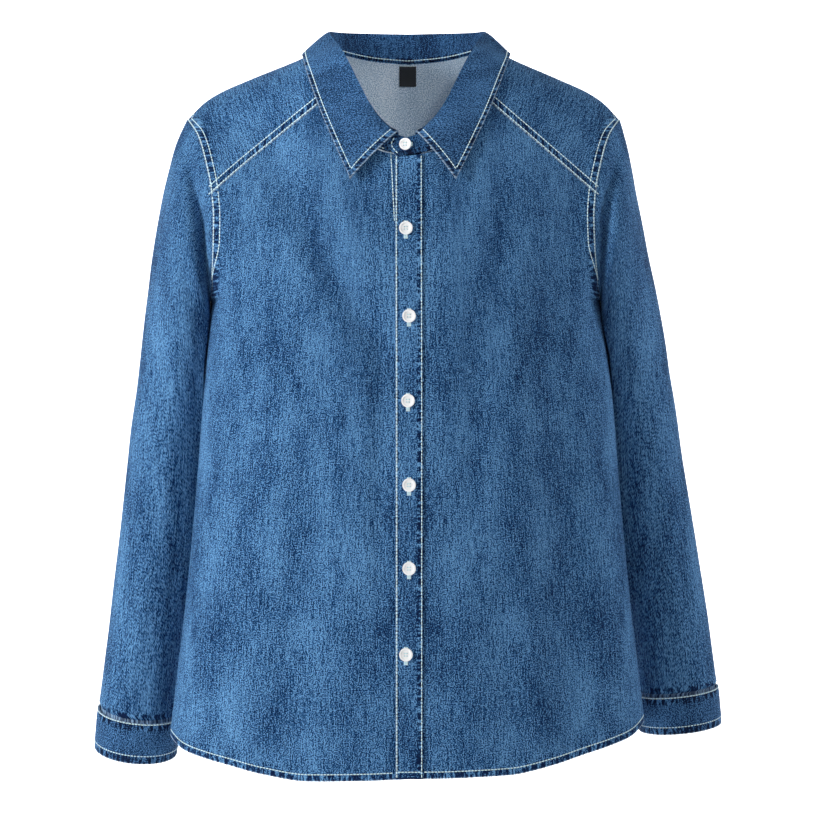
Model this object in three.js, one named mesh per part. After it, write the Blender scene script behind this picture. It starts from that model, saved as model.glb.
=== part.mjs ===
// A long-sleeved denim shirt with a pointed collar, buttoned up and filled out, with nothing inside.
// Millimetres, +Z up. The front faces -Y and the left sleeve lies towards +X.
// The origin is between the shoulders, where what wears the shirt holds it up.
import * as THREE from 'three';

// Cloth and gaps
const CLOTH = 1.2;            // one layer of washed denim
const DOUBLE = 1.7;           // two layers turned and pressed, as in the collar
const SEAM = 0.3;             // gap between pieces that meet
const HEM_TURN = 8;           // height of the turned hem
const HEM_EXTRA = 0.8;        // what the turned hem adds to the wall

// Heights on the body
const SHOULDER_Z = -60;       // top of the armhole
const ARMPIT_Z = -240;
const NECK_SIDE_X = 80;       // where the shoulder ridge meets the neckline
const HEM_TILT = 0.03;        // the hem hangs lower on the right side

// Armhole
const ARMHOLE = { midZ: -150, halfHeight: 90, halfDepth: 65 };
const SEAM_LEAN = 0.5;        // how far the cloth at the armhole seam faces sideways
const UNDERARM = { start: -0.45, reach: 0.4 }; // where round the armhole the cloth turns face to face

// Placket and collar ends
const PLACKET = { left: -12, right: 14.5, inset: 2, step: 2.6 }; // inset and step: of the band under it
const STAND_LAP = 13;         // the stand's ends pass the centre by this much
const LEAF_INSET = 10.5;      // the collar's leaves start this far from the centre
const LEAF_LIFT = 3.4;        // height of the collar's outside above what it lies on
const LEAF_ROLL = 6;          // how far the collar's leaves round out from the stand
const SLOPE_LIFT = 1.3;       // the same height measured straight up, on the sloping shoulders
const NECK_MIDDLE_Y = -12;    // depth of the middle of the neck
const STAND_SEAM = 1.1;       // from the neckline to the stand's lower edge
const STAND_DROP = 4.2;       // from the collar's fold down to the stand's top edge
const STAND_TURN = { rows: 3, share: 0.8 }; // how soon and how far the stand's front ends face ahead

// Yoke
const YOKE_FRONT = { x: 92.5, z: -58, slope: 0.84 };
const YOKE_BACK_Z = -98;
const YOKE_GAP = 0.65;        // along the slanting seams, where the walls' ends lean together

// Label
const LABEL = { width: 17, height: 19, wall: 1, top: 0, lift: 2.6 };

// Half width and depths of the body, how deep its side is, and how flat (power) and how square (round)
// each outline is
const BODY = table(['z', 'halfWidth', 'front', 'back', 'brim', 'power', 'round'], [
  [16, 76, 38, 46, 0, 1.5, 1.6],
  [2, 103, 60, 64, 0, 1.5, 1.6],
  [-20, 155, 70, 77, 0, 1.6, 1.6],
  [-33, 184, 76, 84, 0, 1.7, 1.6],
  [-42, 198, 80, 88, 0, 1.8, 1.6],
  [-53, 209.5, 84, 92, 0, 1.9, 1.6],
  [-60, 215.5, 87, 94, 3, 1.9, 1.55],
  [-80, 203, 93, 98, 28, 2, 1.45],
  [-107, 194.5, 101, 103, 48, 2.1, 1.35],
  [-134, 189, 106.5, 107, 57, 2.2, 1.35],
  [-160, 187, 110.5, 109, 58, 2.2, 1.35],
  [-190, 188, 114, 110, 50, 2.2, 1.4],
  [-227, 191, 116.5, 110, 34, 2.2, 1.6],
  [-240, 194, 117, 109, 28, 2.2, 1.7],
  [-290, 199, 117, 106, 9, 2.2, 1.95],
  [-340, 204.5, 116, 103, 0, 2.2, 2],
  [-440, 212.5, 113, 100, 0, 2.2, 2],
  [-540, 222, 110, 99, 0, 2.2, 2],
  [-640, 234, 108, 100, 0, 2.2, 2],
  [-730, 243, 107, 101, 0, 2.2, 2],
]);
const EDGE_REACH = 14;        // power of the share at which the armhole draws the cloth to itself
const RIDGE_ROWS = 7;         // rows down to the shoulder point, above the armhole

// Lower edge, by share of the half width
const HEM = table(['share', 'front', 'back'], [
  [0, -706, -722],
  [0.17, -706.8, -721],
  [0.4, -706.5, -716],
  [0.585, -699.6, -706],
  [0.73, -691, -696],
  [0.835, -685, -688],
  [0.93, -678, -679],
  [1, -667, -667],
]);

// Neckline and the collar above it, from the centre front round to the centre back
const COLLAR = table([
  'neckX', 'neckZ', 'foldX', 'foldY', 'foldZ', 'edgeX', 'edgeY', 'edgeZ',
], [
  [0, -104, 0, -99, -82, 51.5, -112, -127],
  [22, -101, 14, -97.5, -77, 53, -110, -123],
  [42, -88.5, 26, -92, -66, 61, -104, -106],
  [57, -69, 38, -81, -49, 71, -94, -84],
  [67, -46, 47.5, -66, -30, 81, -82, -61],
  [74, -22, 57, -45, -10, 91, -60, -35],
  [79, 3, 68.5, -20, 12, 99, -36, -12],
  [80, 14, 79, 10, 29, 104.5, 5, 6],
  [77, 12, 76, 38, 33, 96, 42, -2],
  [60, 8.5, 62, 56, 34, 73, 69, -5],
  [35, 5, 36, 70, 35, 41, 84, -6],
  [0, 3, 0, 76, 35, 0, 89, -6],
]);
const NECK_SIDE_ROW = 7;
const FOLD_SHIFT = -1;        // the collar sits a little towards the right side
const TIP_SHIFT = -5;         // and its points a little more

// Sleeve: outer and inner outline, how far back the middle lies, and half the depth
const SLEEVE = table(['outX', 'outZ', 'inX', 'inZ', 'midY', 'depth', 'shift'], [
  [215.5, -60, 193.5, -240, 0, 65, 0],
  [224.5, -82, 194, -245, 3, 67, -2],
  [231.5, -109, 194, -252, 8, 69, -3],
  [238, -137, 193, -262, 14, 70, -4],
  [244, -165, 192, -275, 20, 69.5, -4],
  [249.6, -193, 191, -291, 27, 68, -4],
  [258, -235, 190, -316, 40, 64, -3.5],
  [265.4, -277, 190, -340, 51, 60, -3.5],
  [271.6, -320, 192, -368, 59, 57, -4],
  [278.5, -362, 195, -398, 63, 55, -4],
  [284, -405, 199, -432, 65, 53.5, -3.5],
  [291.7, -462, 206, -482, 65, 51.5, -2],
  [299.4, -519, 215, -534, 63, 49, -1],
  [306.8, -576, 224, -587, 61, 45.5, 0],
  [314, -634, 233, -643, 58, 41.5, 0],
  [315, -641, 233.5, -650, 57.5, 41, 0],
  [318.3, -679.5, 237.5, -688, 57, 40.5, 0],
]);
const CUFF_START = 15;        // the row of the sleeve's outline where the cuff begins
const CUFF = { wall: 1.8, lapMiddle: 250, rows: 2, tuck: 7, seat: 2.8 };
const CUFF_STEP = 12;         // degrees round the cuff
const CUFF_STEPS = 33;        // more than one full turn, so that the ends lap
const ARM_GAP = 0.8;          // between the armhole's edge and the sleeve
const BODY_GAP = 2.5;         // least gap where a sleeve lies beside the body
const TUCK = { start: 0.9, rows: 0.75 }; // rows before the cuff where the sleeve draws in under it
const SLEEVE_FADE = { top: 1.5, end: 1.2 }; // rows over which folds fade at the armhole and the cuff

// The two sleeves hang unlike: how much lower each ends, and how far its front edge dips
const ARMS = {
  right: { side: -1, drop: 12, dip: 10 },
  left: { side: 1, drop: -12, dip: 4 },
};

// The body leans a little towards its right side at the shoulders
const LEAN = table(['z', 'shift'], [
  [40, -1], [0, -2.5], [-60, -4.5], [-190, -4], [-240, -2.5], [-350, 0], [-760, 0],
]);
const LEAN_REACH = 150;       // how far from the centre the lean is full
const FOLD_FADE = 0.12;       // share of the half width over which folds fade at the sides

// Soft folds of the body: place, half length, half width, turn from upright and depth
const FOLDS = table(['side', 'x', 'z', 'long', 'wide', 'turn', 'depth'], [
  [-1, -95, -165, 120, 22, -28, 4.5],
  [-1, -48, -255, 95, 15, -30, 3.5],
  [-1, -150, -330, 150, 20, 4, 3],
  [-1, -105, -520, 190, 26, 3, 4],
  [-1, -25, -390, 160, 12, 0, 3.5],
  [-1, 155, -200, 110, 20, 18, 5],
  [-1, 150, -420, 210, 24, -3, 6],
  [-1, 70, -330, 170, 22, 8, 3],
  [-1, 95, -590, 130, 24, -4, 4],
  [1, -110, -230, 130, 22, -20, 5],
  [1, 120, -250, 140, 24, 18, 5],
  [1, -70, -480, 210, 30, 4, 5],
  [1, 80, -520, 190, 26, -6, 5],
  [1, 5, -180, 110, 18, 0, 3],
]);

// Soft folds of the sleeves: row of the outline, angle round it, half length in rows, half width, depth
const SLEEVE_FOLDS = table(['row', 'angle', 'long', 'wide', 'depth'], [
  [3, 100, 3.5, 26, 7],
  [6.5, 60, 3, 22, 3.5],
  [9, 110, 3, 24, 3.5],
  [10.5, 45, 1.6, 26, 3],
  [12.5, 95, 2.2, 22, 3],
  [13.5, 140, 1.4, 24, 2.5],
  [4, 250, 3, 26, 6],
  [8, 290, 3, 24, 4],
  [11, 235, 2, 26, 4],
  [13.3, 280, 1.4, 22, 3],
]);

// Buttons down the placket
const BUTTON = { radius: 6.5, wall: 2.6, rim: 1.6, hollow: 0.7, edge: 0.7 };
// row: on the sleeve's outline; down and turn: steps that find the way it faces; clear: of the cuff
const CUFF_BUTTON = { radius: 5.8, row: CUFF_START + 0.5, down: 0.1, turn: 4, clear: 1.1 };
const COLLAR_BUTTON = { x: -2.5, rise: 0.48, radius: 5.8 };
const FRONT_BUTTONS = table(['x', 'z'], [
  [-2, -175], [1, -259.5], [0, -341], [1, -422], [1, -502.5], [-2, -585.5],
]);

// Fineness of the cloth walls
const FRONT_ROWS = 21;
const ARMHOLE_ROWS = 9;
const FRONT_TURNS = [
  0.085, 0.125, 0.165, 0.21, 0.26, 0.33, 0.41, 0.49, 0.57, 0.65, 0.73, 0.81, 0.88, 0.94, 1,
];
const BACK_GRID = { columns: 21, rows: 21 };
const YOKE_GRID = { columns: 8, rows: 6, neck: 10 };
const SLEEVE_GRID = { around: 24, rings: 23 };
const COLLAR_GRID = { along: 36 };
const LEAF_ACROSS = [0, 0.04, 0.12, 0.3, 0.55, 0.8, 1];
const DISC_SIDES = 14;

const material = (name, color, roughness) => new THREE.MeshStandardMaterial({
  name, color, roughness, metalness: 0,
});
const DENIM = material('denim', 0x3f6a99, 0.92);
const DENIM_DARK = material('denim_collar', 0x345c8a, 0.92);
const WHITE = material('button', 0xeef0f0, 0.35);
const BLACK = material('label', 0x14161a, 0.8);

// A short table with named columns
function table(columns, rows) {
  return rows.map((row) => Object.fromEntries(columns.map((name, i) => [name, row[i]])));
}

// A smooth curve through one column of a table, against another column or the row number.
// Its slopes never overshoot a row, so a flat stretch stays flat.
function curve(rows, column, against) {
  const t = rows.map((row, i) => (against ? row[against] : i));
  const v = rows.map((row) => row[column]);
  if (t[0] > t[t.length - 1]) {
    t.reverse();
    v.reverse();
  }
  const last = t.length - 1;
  const rise = t.slice(1).map((end, i) => (v[i + 1] - v[i]) / (end - t[i]));
  const slope = v.map((_, i) => {
    if (i === 0) return rise[0];
    if (i === last) return rise[last - 1];
    const [a, b] = [rise[i - 1], rise[i]];
    if (a * b <= 0) return 0;
    const [wide, near] = [t[i + 1] - t[i], t[i] - t[i - 1]];
    return (3 * (wide + near)) / ((2 * wide + near) / a + (wide + 2 * near) / b);
  });
  return (at) => {
    const x = Math.min(Math.max(at, t[0]), t[last]);
    let i = 0;
    while (i < last - 1 && x > t[i + 1]) i += 1;
    const h = t[i + 1] - t[i];
    const u = (x - t[i]) / h;
    const [u2, u3] = [u * u, u * u * u];
    return (2 * u3 - 3 * u2 + 1) * v[i] + (u3 - 2 * u2 + u) * h * slope[i]
      + (3 * u2 - 2 * u3) * v[i + 1] + (u3 - u2) * h * slope[i + 1];
  };
}

const curves = (rows, columns, against) => Object.fromEntries(
  columns.map((column) => [column, curve(rows, column, against)]),
);
const ridge = curve(BODY.slice(0, RIDGE_ROWS), 'halfWidth', 'z');
const flank = curve(BODY.slice(RIDGE_ROWS - 1), 'halfWidth', 'z');
const body = curves(BODY, ['front', 'back', 'brim', 'power', 'round'], 'z');
const hem = curves(HEM, ['front', 'back'], 'share');
const collar = curves(COLLAR, Object.keys(COLLAR[0]));
const sleeve = curves(SLEEVE, Object.keys(SLEEVE[0]));
const lean = curve(LEAN, 'shift', 'z');
const neckFront = curve(COLLAR.slice(0, NECK_SIDE_ROW + 1), 'neckZ', 'neckX');
const neckBack = curve(COLLAR.slice(NECK_SIDE_ROW), 'neckZ', 'neckX');

const lerp = THREE.MathUtils.lerp;
const clamp = THREE.MathUtils.clamp;
const radians = THREE.MathUtils.degToRad;
const vector = (x, y, z) => new THREE.Vector3(x, y, z);
const FRONT = -1;
const BACK = 1;

const halfWidth = (z) => (z > SHOULDER_Z ? ridge(z) : flank(z));

// How far the armhole's edge lies in front of, or behind, the middle at one height
function armholeDepth(z) {
  const up = (z - ARMHOLE.midZ) / ARMHOLE.halfHeight;
  return Math.abs(up) < 1 ? ARMHOLE.halfDepth * Math.sqrt(1 - up * up) : 0;
}

// The plain outline of the body: the depth at one place and height, in front or behind
function bodyDepth(facing, x, z) {
  const share = Math.min(Math.abs(x) / halfWidth(z), 1);
  const brim = body.brim(z);
  const full = facing === FRONT ? body.front(z) : body.back(z);
  const bulge = (full - brim) * (1 - share ** body.power(z)) ** (1 / body.round(z));
  return brim + bulge + (armholeDepth(z) - brim) * share ** EDGE_REACH;
}

// Depth of the soft folds at one place. They fade out at the body's sides.
function foldDepth(facing, x, z) {
  const share = Math.abs(x) / halfWidth(z);
  const fade = clamp((1 - share) / FOLD_FADE, 0, 1);
  let total = 0;
  for (const fold of FOLDS) {
    if (fold.side !== facing) continue;
    const turn = radians(fold.turn);
    const along = (z - fold.z) * Math.cos(turn) + (x - fold.x) * Math.sin(turn);
    const across = (x - fold.x) * Math.cos(turn) - (z - fold.z) * Math.sin(turn);
    total += fold.depth * Math.exp(-((along / fold.long) ** 2) - (across / fold.wide) ** 2);
  }
  return total * fade;
}

// A point of the body's cloth, moved out from it by lift
function bodyPoint(facing, x, z, lift = 0) {
  const depth = bodyDepth(facing, x, z) - foldDepth(facing, x, z) + lift;
  return vector(x + lean(z) * clamp(Math.abs(x) / LEAN_REACH, 0, 1), facing * depth, z);
}

// The way the cloth faces along the armhole seam, the same for body and sleeve.
// Under the arm the two lie face to face, so there each faces its own way.
function seamFacing(side, y, z, under) {
  const round = vector(0, y / ARMHOLE.halfDepth, (z - ARMHOLE.midZ) / ARMHOLE.halfHeight).normalize();
  const shared = round.clone().add(vector(side * SEAM_LEAN, 0, 0)).normalize();
  const own = clamp((UNDERARM.start - round.z) / UNDERARM.reach, 0, 1);
  return shared.multiplyScalar(1 - own).add(vector(side * under * own, 0, 0)).normalize();
}

// A sheet of points in rows and columns. around closes each row on itself.
function grid(rows, columns, pointAt, around = false) {
  const sheet = { points: [], faces: [], facing: new Map() };
  const width = around ? columns : columns + 1;
  for (let row = 0; row <= rows; row += 1) {
    for (let column = 0; column < width; column += 1) {
      const found = pointAt(row / rows, column / columns, row, column);
      if (found.facing) sheet.facing.set(sheet.points.length, found.facing);
      sheet.points.push(found.point || found);
    }
  }
  for (let row = 0; row < rows; row += 1) {
    for (let column = 0; column < columns; column += 1) {
      const a = row * width + column;
      const b = row * width + ((column + 1) % width);
      sheet.faces.push([a, b, b + width], [a, b + width, a + width]);
    }
  }
  return sheet;
}

// Several sheets made one, where their points meet
function joined(sheets) {
  const all = { points: [], faces: [], facing: new Map() };
  const seen = new Map();
  for (const sheet of sheets) {
    const index = sheet.points.map((point, i) => {
      const key = point.toArray().map((value) => Math.round(value * 100)).join();
      if (!seen.has(key)) {
        seen.set(key, all.points.length);
        all.points.push(point);
      }
      if (sheet.facing.has(i)) all.facing.set(seen.get(key), sheet.facing.get(i));
      return seen.get(key);
    });
    for (const face of sheet.faces) {
      const merged = face.map((i) => index[i]);
      if (new Set(merged).size === 3) all.faces.push(merged);
    }
  }
  return all;
}

const mirrored = (sheet) => ({
  ...sheet, faces: sheet.faces.map(([a, b, c]) => [a, c, b]),
});

// A wall: the sheet is its outside, and its inside lies one thickness in
function wall(name, sheet, thickness, paint) {
  const { points, faces, facing } = sheet;
  const normals = points.map(() => vector(0, 0, 0));
  for (const [a, b, c] of faces) {
    const normal = points[b].clone().sub(points[a]).cross(points[c].clone().sub(points[a]));
    for (const i of [a, b, c]) normals[i].add(normal);
  }
  const inside = points.map((point, i) => {
    const normal = (facing.get(i) || normals[i]).clone().normalize();
    const depth = typeof thickness === 'function' ? thickness(point, i) : thickness;
    return point.clone().addScaledVector(normal, -depth);
  });
  const count = points.length;
  const solid = [];
  const edges = new Map();
  for (const [a, b, c] of faces) {
    solid.push([a, b, c], [a + count, c + count, b + count]);
    for (const [from, to] of [[a, b], [b, c], [c, a]]) {
      if (!edges.delete(`${to},${from}`)) edges.set(`${from},${to}`, [from, to]);
    }
  }
  for (const [from, to] of edges.values()) {
    solid.push([from, from + count, to + count], [from, to + count, to]);
  }
  const geometry = new THREE.BufferGeometry();
  const flat = [...points, ...inside].flatMap((point) => point.toArray());
  geometry.setAttribute('position', new THREE.Float32BufferAttribute(flat, 3));
  geometry.setIndex(solid.flat());
  geometry.computeVertexNormals();
  const mesh = new THREE.Mesh(geometry, paint);
  mesh.name = name;
  return mesh;
}

const hemZ = (facing, share, x) => hem[facing === FRONT ? 'front' : 'back'](share) + HEM_TILT * x;
const seamZ = (x) => YOKE_FRONT.z - YOKE_FRONT.slope * (x - YOKE_FRONT.x);
const seamGap = YOKE_GAP * Math.hypot(1, YOKE_FRONT.slope);

// Where a rising function of one value passes zero
function root(low, high, above) {
  let [a, b] = [low, high];
  for (let i = 0; i < 40; i += 1) {
    const middle = (a + b) / 2;
    if (above(middle) > 0) b = middle;
    else a = middle;
  }
  return (a + b) / 2;
}

// Height where a line across the body meets one share of its width
const crossing = (share, line) => root(-420, 20, (z) => z - line(share * halfWidth(z)));
const ridgeZ = (x) => -root(-16, -SHOULDER_Z, (down) => ridge(-down) - x);

// Height in one row of a panel. Rows draw together above the armpit, where the armhole turns under,
// and the last two are close together, so that the hem is a clean step.
function panelZ(top, bottom, row, rows) {
  if (row === rows) return bottom;
  const rise = 1 - Math.cos((Math.PI / 2) * (1 - row / ARMHOLE_ROWS));
  if (row <= ARMHOLE_ROWS) return lerp(ARMPIT_Z, top, rise);
  return lerp(ARMPIT_Z, bottom + HEM_TURN, (row - ARMHOLE_ROWS) / (rows - 1 - ARMHOLE_ROWS));
}

// The turned hem is thicker than the cloth above it
function panelWall(name, sheet, paint) {
  return wall(name, sheet, (point, i) => CLOTH + (sheet.hem.has(i) ? HEM_EXTRA : 0), paint);
}

// A panel below the yoke in columns, each a place across the body and a lift
function panel(facing, rows, columns, top) {
  const turned = new Set();
  const sheet = grid(rows, columns.length - 1, (v, u, row, index) => {
    const { side, share, x: fixed = 0, lift = 0 } = columns[index];
    const wide = (z) => (share === undefined ? fixed : share * halfWidth(z));
    const highest = share === undefined ? top(Math.abs(fixed)) : crossing(share, top);
    const bottomShare = share === undefined ? 0 : share;
    const lowest = hemZ(facing, bottomShare, side * wide(HEM[0].front));
    const z = panelZ(highest, lowest, row, rows);
    if (row === rows) turned.add(row * columns.length + index);
    const point = bodyPoint(facing, side * wide(z), z, lift);
    if (share !== 1) return point;
    if (z > ARMPIT_Z) return { point, facing: seamFacing(side, point.y, z, 1) };
    point.y = facing * Math.max(Math.abs(point.y), SEAM / 2);
    return { point, facing: vector(side, 0, 0) };
  });
  return { ...sheet, hem: turned };
}

const frontTop = (x) => Math.min(x < NECK_SIDE_X ? neckFront(x) : Infinity, seamZ(x)) - seamGap;
const shareAt = (turn) => Math.sin((Math.PI / 2) * turn);
const frontColumns = (side) => FRONT_TURNS.map((turn) => ({ side, share: shareAt(turn) }));

// The left front runs to the placket's edge, and the placket lies on it
function leftFront() {
  const across = [PLACKET.left + SEAM, (PLACKET.left + PLACKET.right) / 2, PLACKET.right];
  const fixed = across.map((x) => ({ side: 1, x }));
  return mirrored(panel(FRONT, FRONT_ROWS, [...fixed, ...frontColumns(1)], frontTop));
}

// The right front runs on under the placket, one layer further in
function rightFront() {
  const under = -(CLOTH + HEM_EXTRA + 2 * SEAM);
  const fixed = [
    { side: -1, x: -PLACKET.right + PLACKET.inset, lift: under },
    { side: -1, x: 0, lift: under },
    { side: -1, x: -PLACKET.left - SEAM, lift: under },
    { side: -1, x: -PLACKET.left + PLACKET.step },
  ];
  return panel(FRONT, FRONT_ROWS, [...fixed, ...frontColumns(-1)], frontTop);
}

// The placket is a band on the left front's edge, made from its points moved out
function placket() {
  const across = [PLACKET.left, (PLACKET.left + PLACKET.right) / 2, PLACKET.right];
  const columns = across.map((x) => ({ side: 1, x, lift: CLOTH + SEAM }));
  return mirrored(panel(FRONT, FRONT_ROWS, columns, frontTop));
}

function backPanel() {
  const { columns, rows } = BACK_GRID;
  const across = Array.from({ length: columns + 1 }, (_, i) => {
    const turn = (2 * i) / columns - 1;
    return { side: Math.sign(turn) || 1, share: shareAt(Math.abs(turn)) };
  });
  return panel(BACK, rows, across, () => YOKE_BACK_Z - SEAM);
}

// Share of the way up a yoke row. Rows draw together at the shoulder ridge, where the cloth bends most.
const yokeRise = (v) => 1 - (1 - v) ** 2;
const ridgeX = (u) => lerp(NECK_SIDE_X, BODY[RIDGE_ROWS - 1].halfWidth, u);

// The front of one shoulder: from the slanting seam up to the ridge
function yokeFront(side) {
  const neckAt = curve(COLLAR.slice(0, NECK_SIDE_ROW + 1), 'neckX', 'neckZ');
  const inner = root(60, NECK_SIDE_X, (x) => neckFront(x) - seamZ(x));
  const outer = halfWidth(crossing(1, seamZ));
  const sheet = grid(YOKE_GRID.rows, YOKE_GRID.columns, (v, u) => {
    const rise = yokeRise(v);
    const seamX = lerp(inner, outer, u);
    const height = (low, high) => lerp(seamZ(low), ridgeZ(high), rise);
    const z = height(seamX, ridgeX(u));
    const armholeX = halfWidth(height(outer, ridgeX(1)));
    const neckX = neckAt(height(inner, ridgeX(0)));
    const toArmhole = u ** 3 * (armholeX - lerp(outer, ridgeX(1), rise));
    const toNeck = (1 - u) ** 3 * (neckX - lerp(inner, ridgeX(0), rise));
    const x = v === 1 ? ridgeX(u) : lerp(seamX, ridgeX(u), rise) + toArmhole + toNeck;
    const point = bodyPoint(FRONT, side * x, z);
    if (v === 1) point.y = 0;
    return u === 1 ? { point, facing: seamFacing(side, point.y, z, 1) } : point;
  });
  return side > 0 ? sheet : mirrored(sheet);
}

// The back of the yoke, from the straight seam up to the two ridges and the neck
function yokeBack() {
  const { columns, neck, rows } = YOKE_GRID;
  const places = Array.from({ length: 2 * columns + neck + 1 }, (_, i) => {
    const step = i - columns - neck / 2;
    const past = Math.max(Math.abs(step) - neck / 2, 0) / columns;
    const near = (Math.min(Math.abs(step), neck / 2) / (neck / 2)) * NECK_SIDE_X;
    return { side: Math.sign(step) || 1, near, past };
  });
  const sheet = grid(rows, places.length - 1, (v, u, row, index) => {
    const { side, near, past } = places[index];
    const rise = yokeRise(v);
    const onRidge = near === NECK_SIDE_X;
    const top = onRidge ? ridgeZ(ridgeX(past)) : neckBack(near);
    const topX = onRidge ? ridgeX(past) : near;
    const armhole = halfWidth(YOKE_BACK_Z);
    const bottomX = onRidge ? lerp(NECK_SIDE_X, armhole, past) : near;
    const z = lerp(YOKE_BACK_Z, top, rise);
    const armholeX = halfWidth(lerp(YOKE_BACK_Z, ridgeZ(ridgeX(1)), rise));
    const toArmhole = past ** 3 * (armholeX - lerp(armhole, ridgeX(1), rise));
    const x = v === 1 ? topX : lerp(bottomX, topX, rise) + toArmhole;
    const point = bodyPoint(BACK, side * x, z);
    if (v === 1 && onRidge) point.y = 0;
    return past === 1 ? { point, facing: seamFacing(side, point.y, z, 1) } : point;
  });
  return mirrored(sheet);
}

// A point outside the body at least a little way from its cloth
function clearOfBody(point, away) {
  const inside = (k) => {
    const [x, y] = [point.x * k, point.y * k];
    if (Math.abs(x) - away >= halfWidth(point.z)) return 0;
    const facing = y < 0 ? FRONT : BACK;
    return bodyDepth(facing, Math.max(Math.abs(x) - away, 0), point.z) + away > Math.abs(y) ? 1 : 0;
  };
  if (point.z > ARMPIT_Z) {
    const least = halfWidth(point.z) + away;
    return vector(Math.sign(point.x) * Math.max(Math.abs(point.x), least), point.y, point.z);
  }
  if (!inside(1)) return point;
  const k = root(1, 1.5, (scale) => 0.5 - inside(scale));
  return vector(point.x * k, point.y * k, point.z);
}

// How deep the sleeve's folds are at one row of its outline and one angle round it
function sleeveFold(row, angle) {
  return SLEEVE_FOLDS.reduce((total, fold) => {
    const turn = ((angle - fold.angle + 540) % 360) - 180;
    return total + fold.depth * Math.exp(-(((row - fold.row) / fold.long) ** 2) - (turn / fold.wide) ** 2);
  }, 0);
}

// A point of a sleeve or cuff. Angle 0 is its outer side, 90 its front and 180 lies to the body.
function sleevePoint(arm, row, angle, lift) {
  const [c, s] = [Math.cos(radians(angle)), Math.sin(radians(angle))];
  const at = (name) => sleeve[name](row);
  const outward = vector(at('outX') - at('inX'), 0, at('outZ') - at('inZ'));
  const half = outward.length() / 2;
  outward.normalize();
  const point = vector((at('outX') + at('inX')) / 2, at('midY'), (at('outZ') + at('inZ')) / 2);
  point.addScaledVector(outward, (half + lift) * c);
  point.y -= (at('depth') + lift) * s;
  const fromLoop = Math.max(1 - row / 4, 0) ** 2;
  const loopZ = ARMHOLE.midZ + ARMHOLE.halfHeight * c;
  const { outX, inX } = SLEEVE[0];
  point.x += fromLoop * (halfWidth(loopZ) + ARM_GAP - (outX + inX) / 2 - ((outX - inX) / 2) * c);
  const down = clamp((row - 2) / (SLEEVE.length - 3), 0, 1);
  point.z -= arm.drop * down ** 1.3 + arm.dip * s * down ** 2;
  point.x = arm.side * point.x + at('shift');
  const free = row > 0 ? clearOfBody(point, lerp(ARM_GAP, BODY_GAP, Math.min(row, 1))) : point;
  free.x += lean(free.z);
  return free;
}

function sleeveSheet(arm) {
  const { rings, around } = SLEEVE_GRID;
  const end = CUFF_START + CUFF.tuck / (SLEEVE[CUFF_START].outZ - SLEEVE[CUFF_START + 1].outZ);
  const sheet = grid(rings, around, (v, u) => {
    const row = v * end;
    const angle = u * 360;
    const tuck = clamp((row - CUFF_START + TUCK.start) / TUCK.rows, 0, 1);
    const fade = clamp(row / SLEEVE_FADE.top, 0, 1) * clamp((CUFF_START - row) / SLEEVE_FADE.end, 0, 1);
    const lift = -CUFF.seat * tuck * tuck * (3 - 2 * tuck) - sleeveFold(row, angle) * fade;
    const point = sleevePoint(arm, row, angle, lift);
    if (row > 0) return point;
    return { point, facing: seamFacing(arm.side, point.y, point.z, -1) };
  }, true);
  return arm.side > 0 ? sheet : mirrored(sheet);
}

// A cuff winds once round the sleeve's end and laps over its own start at the back
function cuffSheet(arm) {
  const turns = CUFF_STEPS * CUFF_STEP;
  const sheet = grid(CUFF.rows, CUFF_STEPS, (v, u) => {
    const turned = u * turns;
    const lift = (turned / 360) * (CUFF.wall + 2 * SEAM);
    return sleevePoint(arm, CUFF_START + v, CUFF.lapMiddle - (turns - 360) / 2 + turned, lift);
  });
  return arm.side > 0 ? sheet : mirrored(sheet);
}

// The neckline, the collar's fold and its outer edge, by row from the front, on one side
function neckPoint(side, row) {
  const facing = row < NECK_SIDE_ROW ? FRONT : BACK;
  return bodyPoint(facing, side * collar.neckX(row), collar.neckZ(row));
}
const foldPoint = (side, row) => vector(
  side * collar.foldX(row) + FOLD_SHIFT,
  collar.foldY(row),
  collar.foldZ(row),
);
const awayFromNeck = (point) => vector(point.x, point.y - NECK_MIDDLE_Y, 0).normalize();

// Past the centre front the collar's lines run on towards the other side
function aroundNeck(step, pointAt) {
  const last = COLLAR.length - 1;
  const side = step < 0 ? -1 : 1;
  const row = last - Math.abs(step);
  return row >= 0 ? pointAt(side, row) : pointAt(-side, -row);
}

function standSheet() {
  const reach = COLLAR.length - 1 + STAND_LAP / COLLAR[1].neckX;
  const sheet = grid(2, COLLAR_GRID.along + 4, (v, u) => {
    const step = lerp(-reach, reach, u);
    const low = aroundNeck(step, neckPoint);
    const high = aroundNeck(step, foldPoint);
    const height = high.distanceTo(low);
    const point = low.clone().lerp(high, lerp(STAND_SEAM, height - STAND_DROP, v) / height);
    const lap = (step / reach) * (DOUBLE / 2 + SEAM);
    const ahead = clamp((NECK_SIDE_ROW - (COLLAR.length - 1 - Math.abs(step))) / STAND_TURN.rows, 0, 1);
    const facing = awayFromNeck(vector(point.x * (1 - STAND_TURN.share * ahead), point.y, 0));
    return point.addScaledVector(facing, lap);
  });
  return mirrored(sheet);
}

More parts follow.
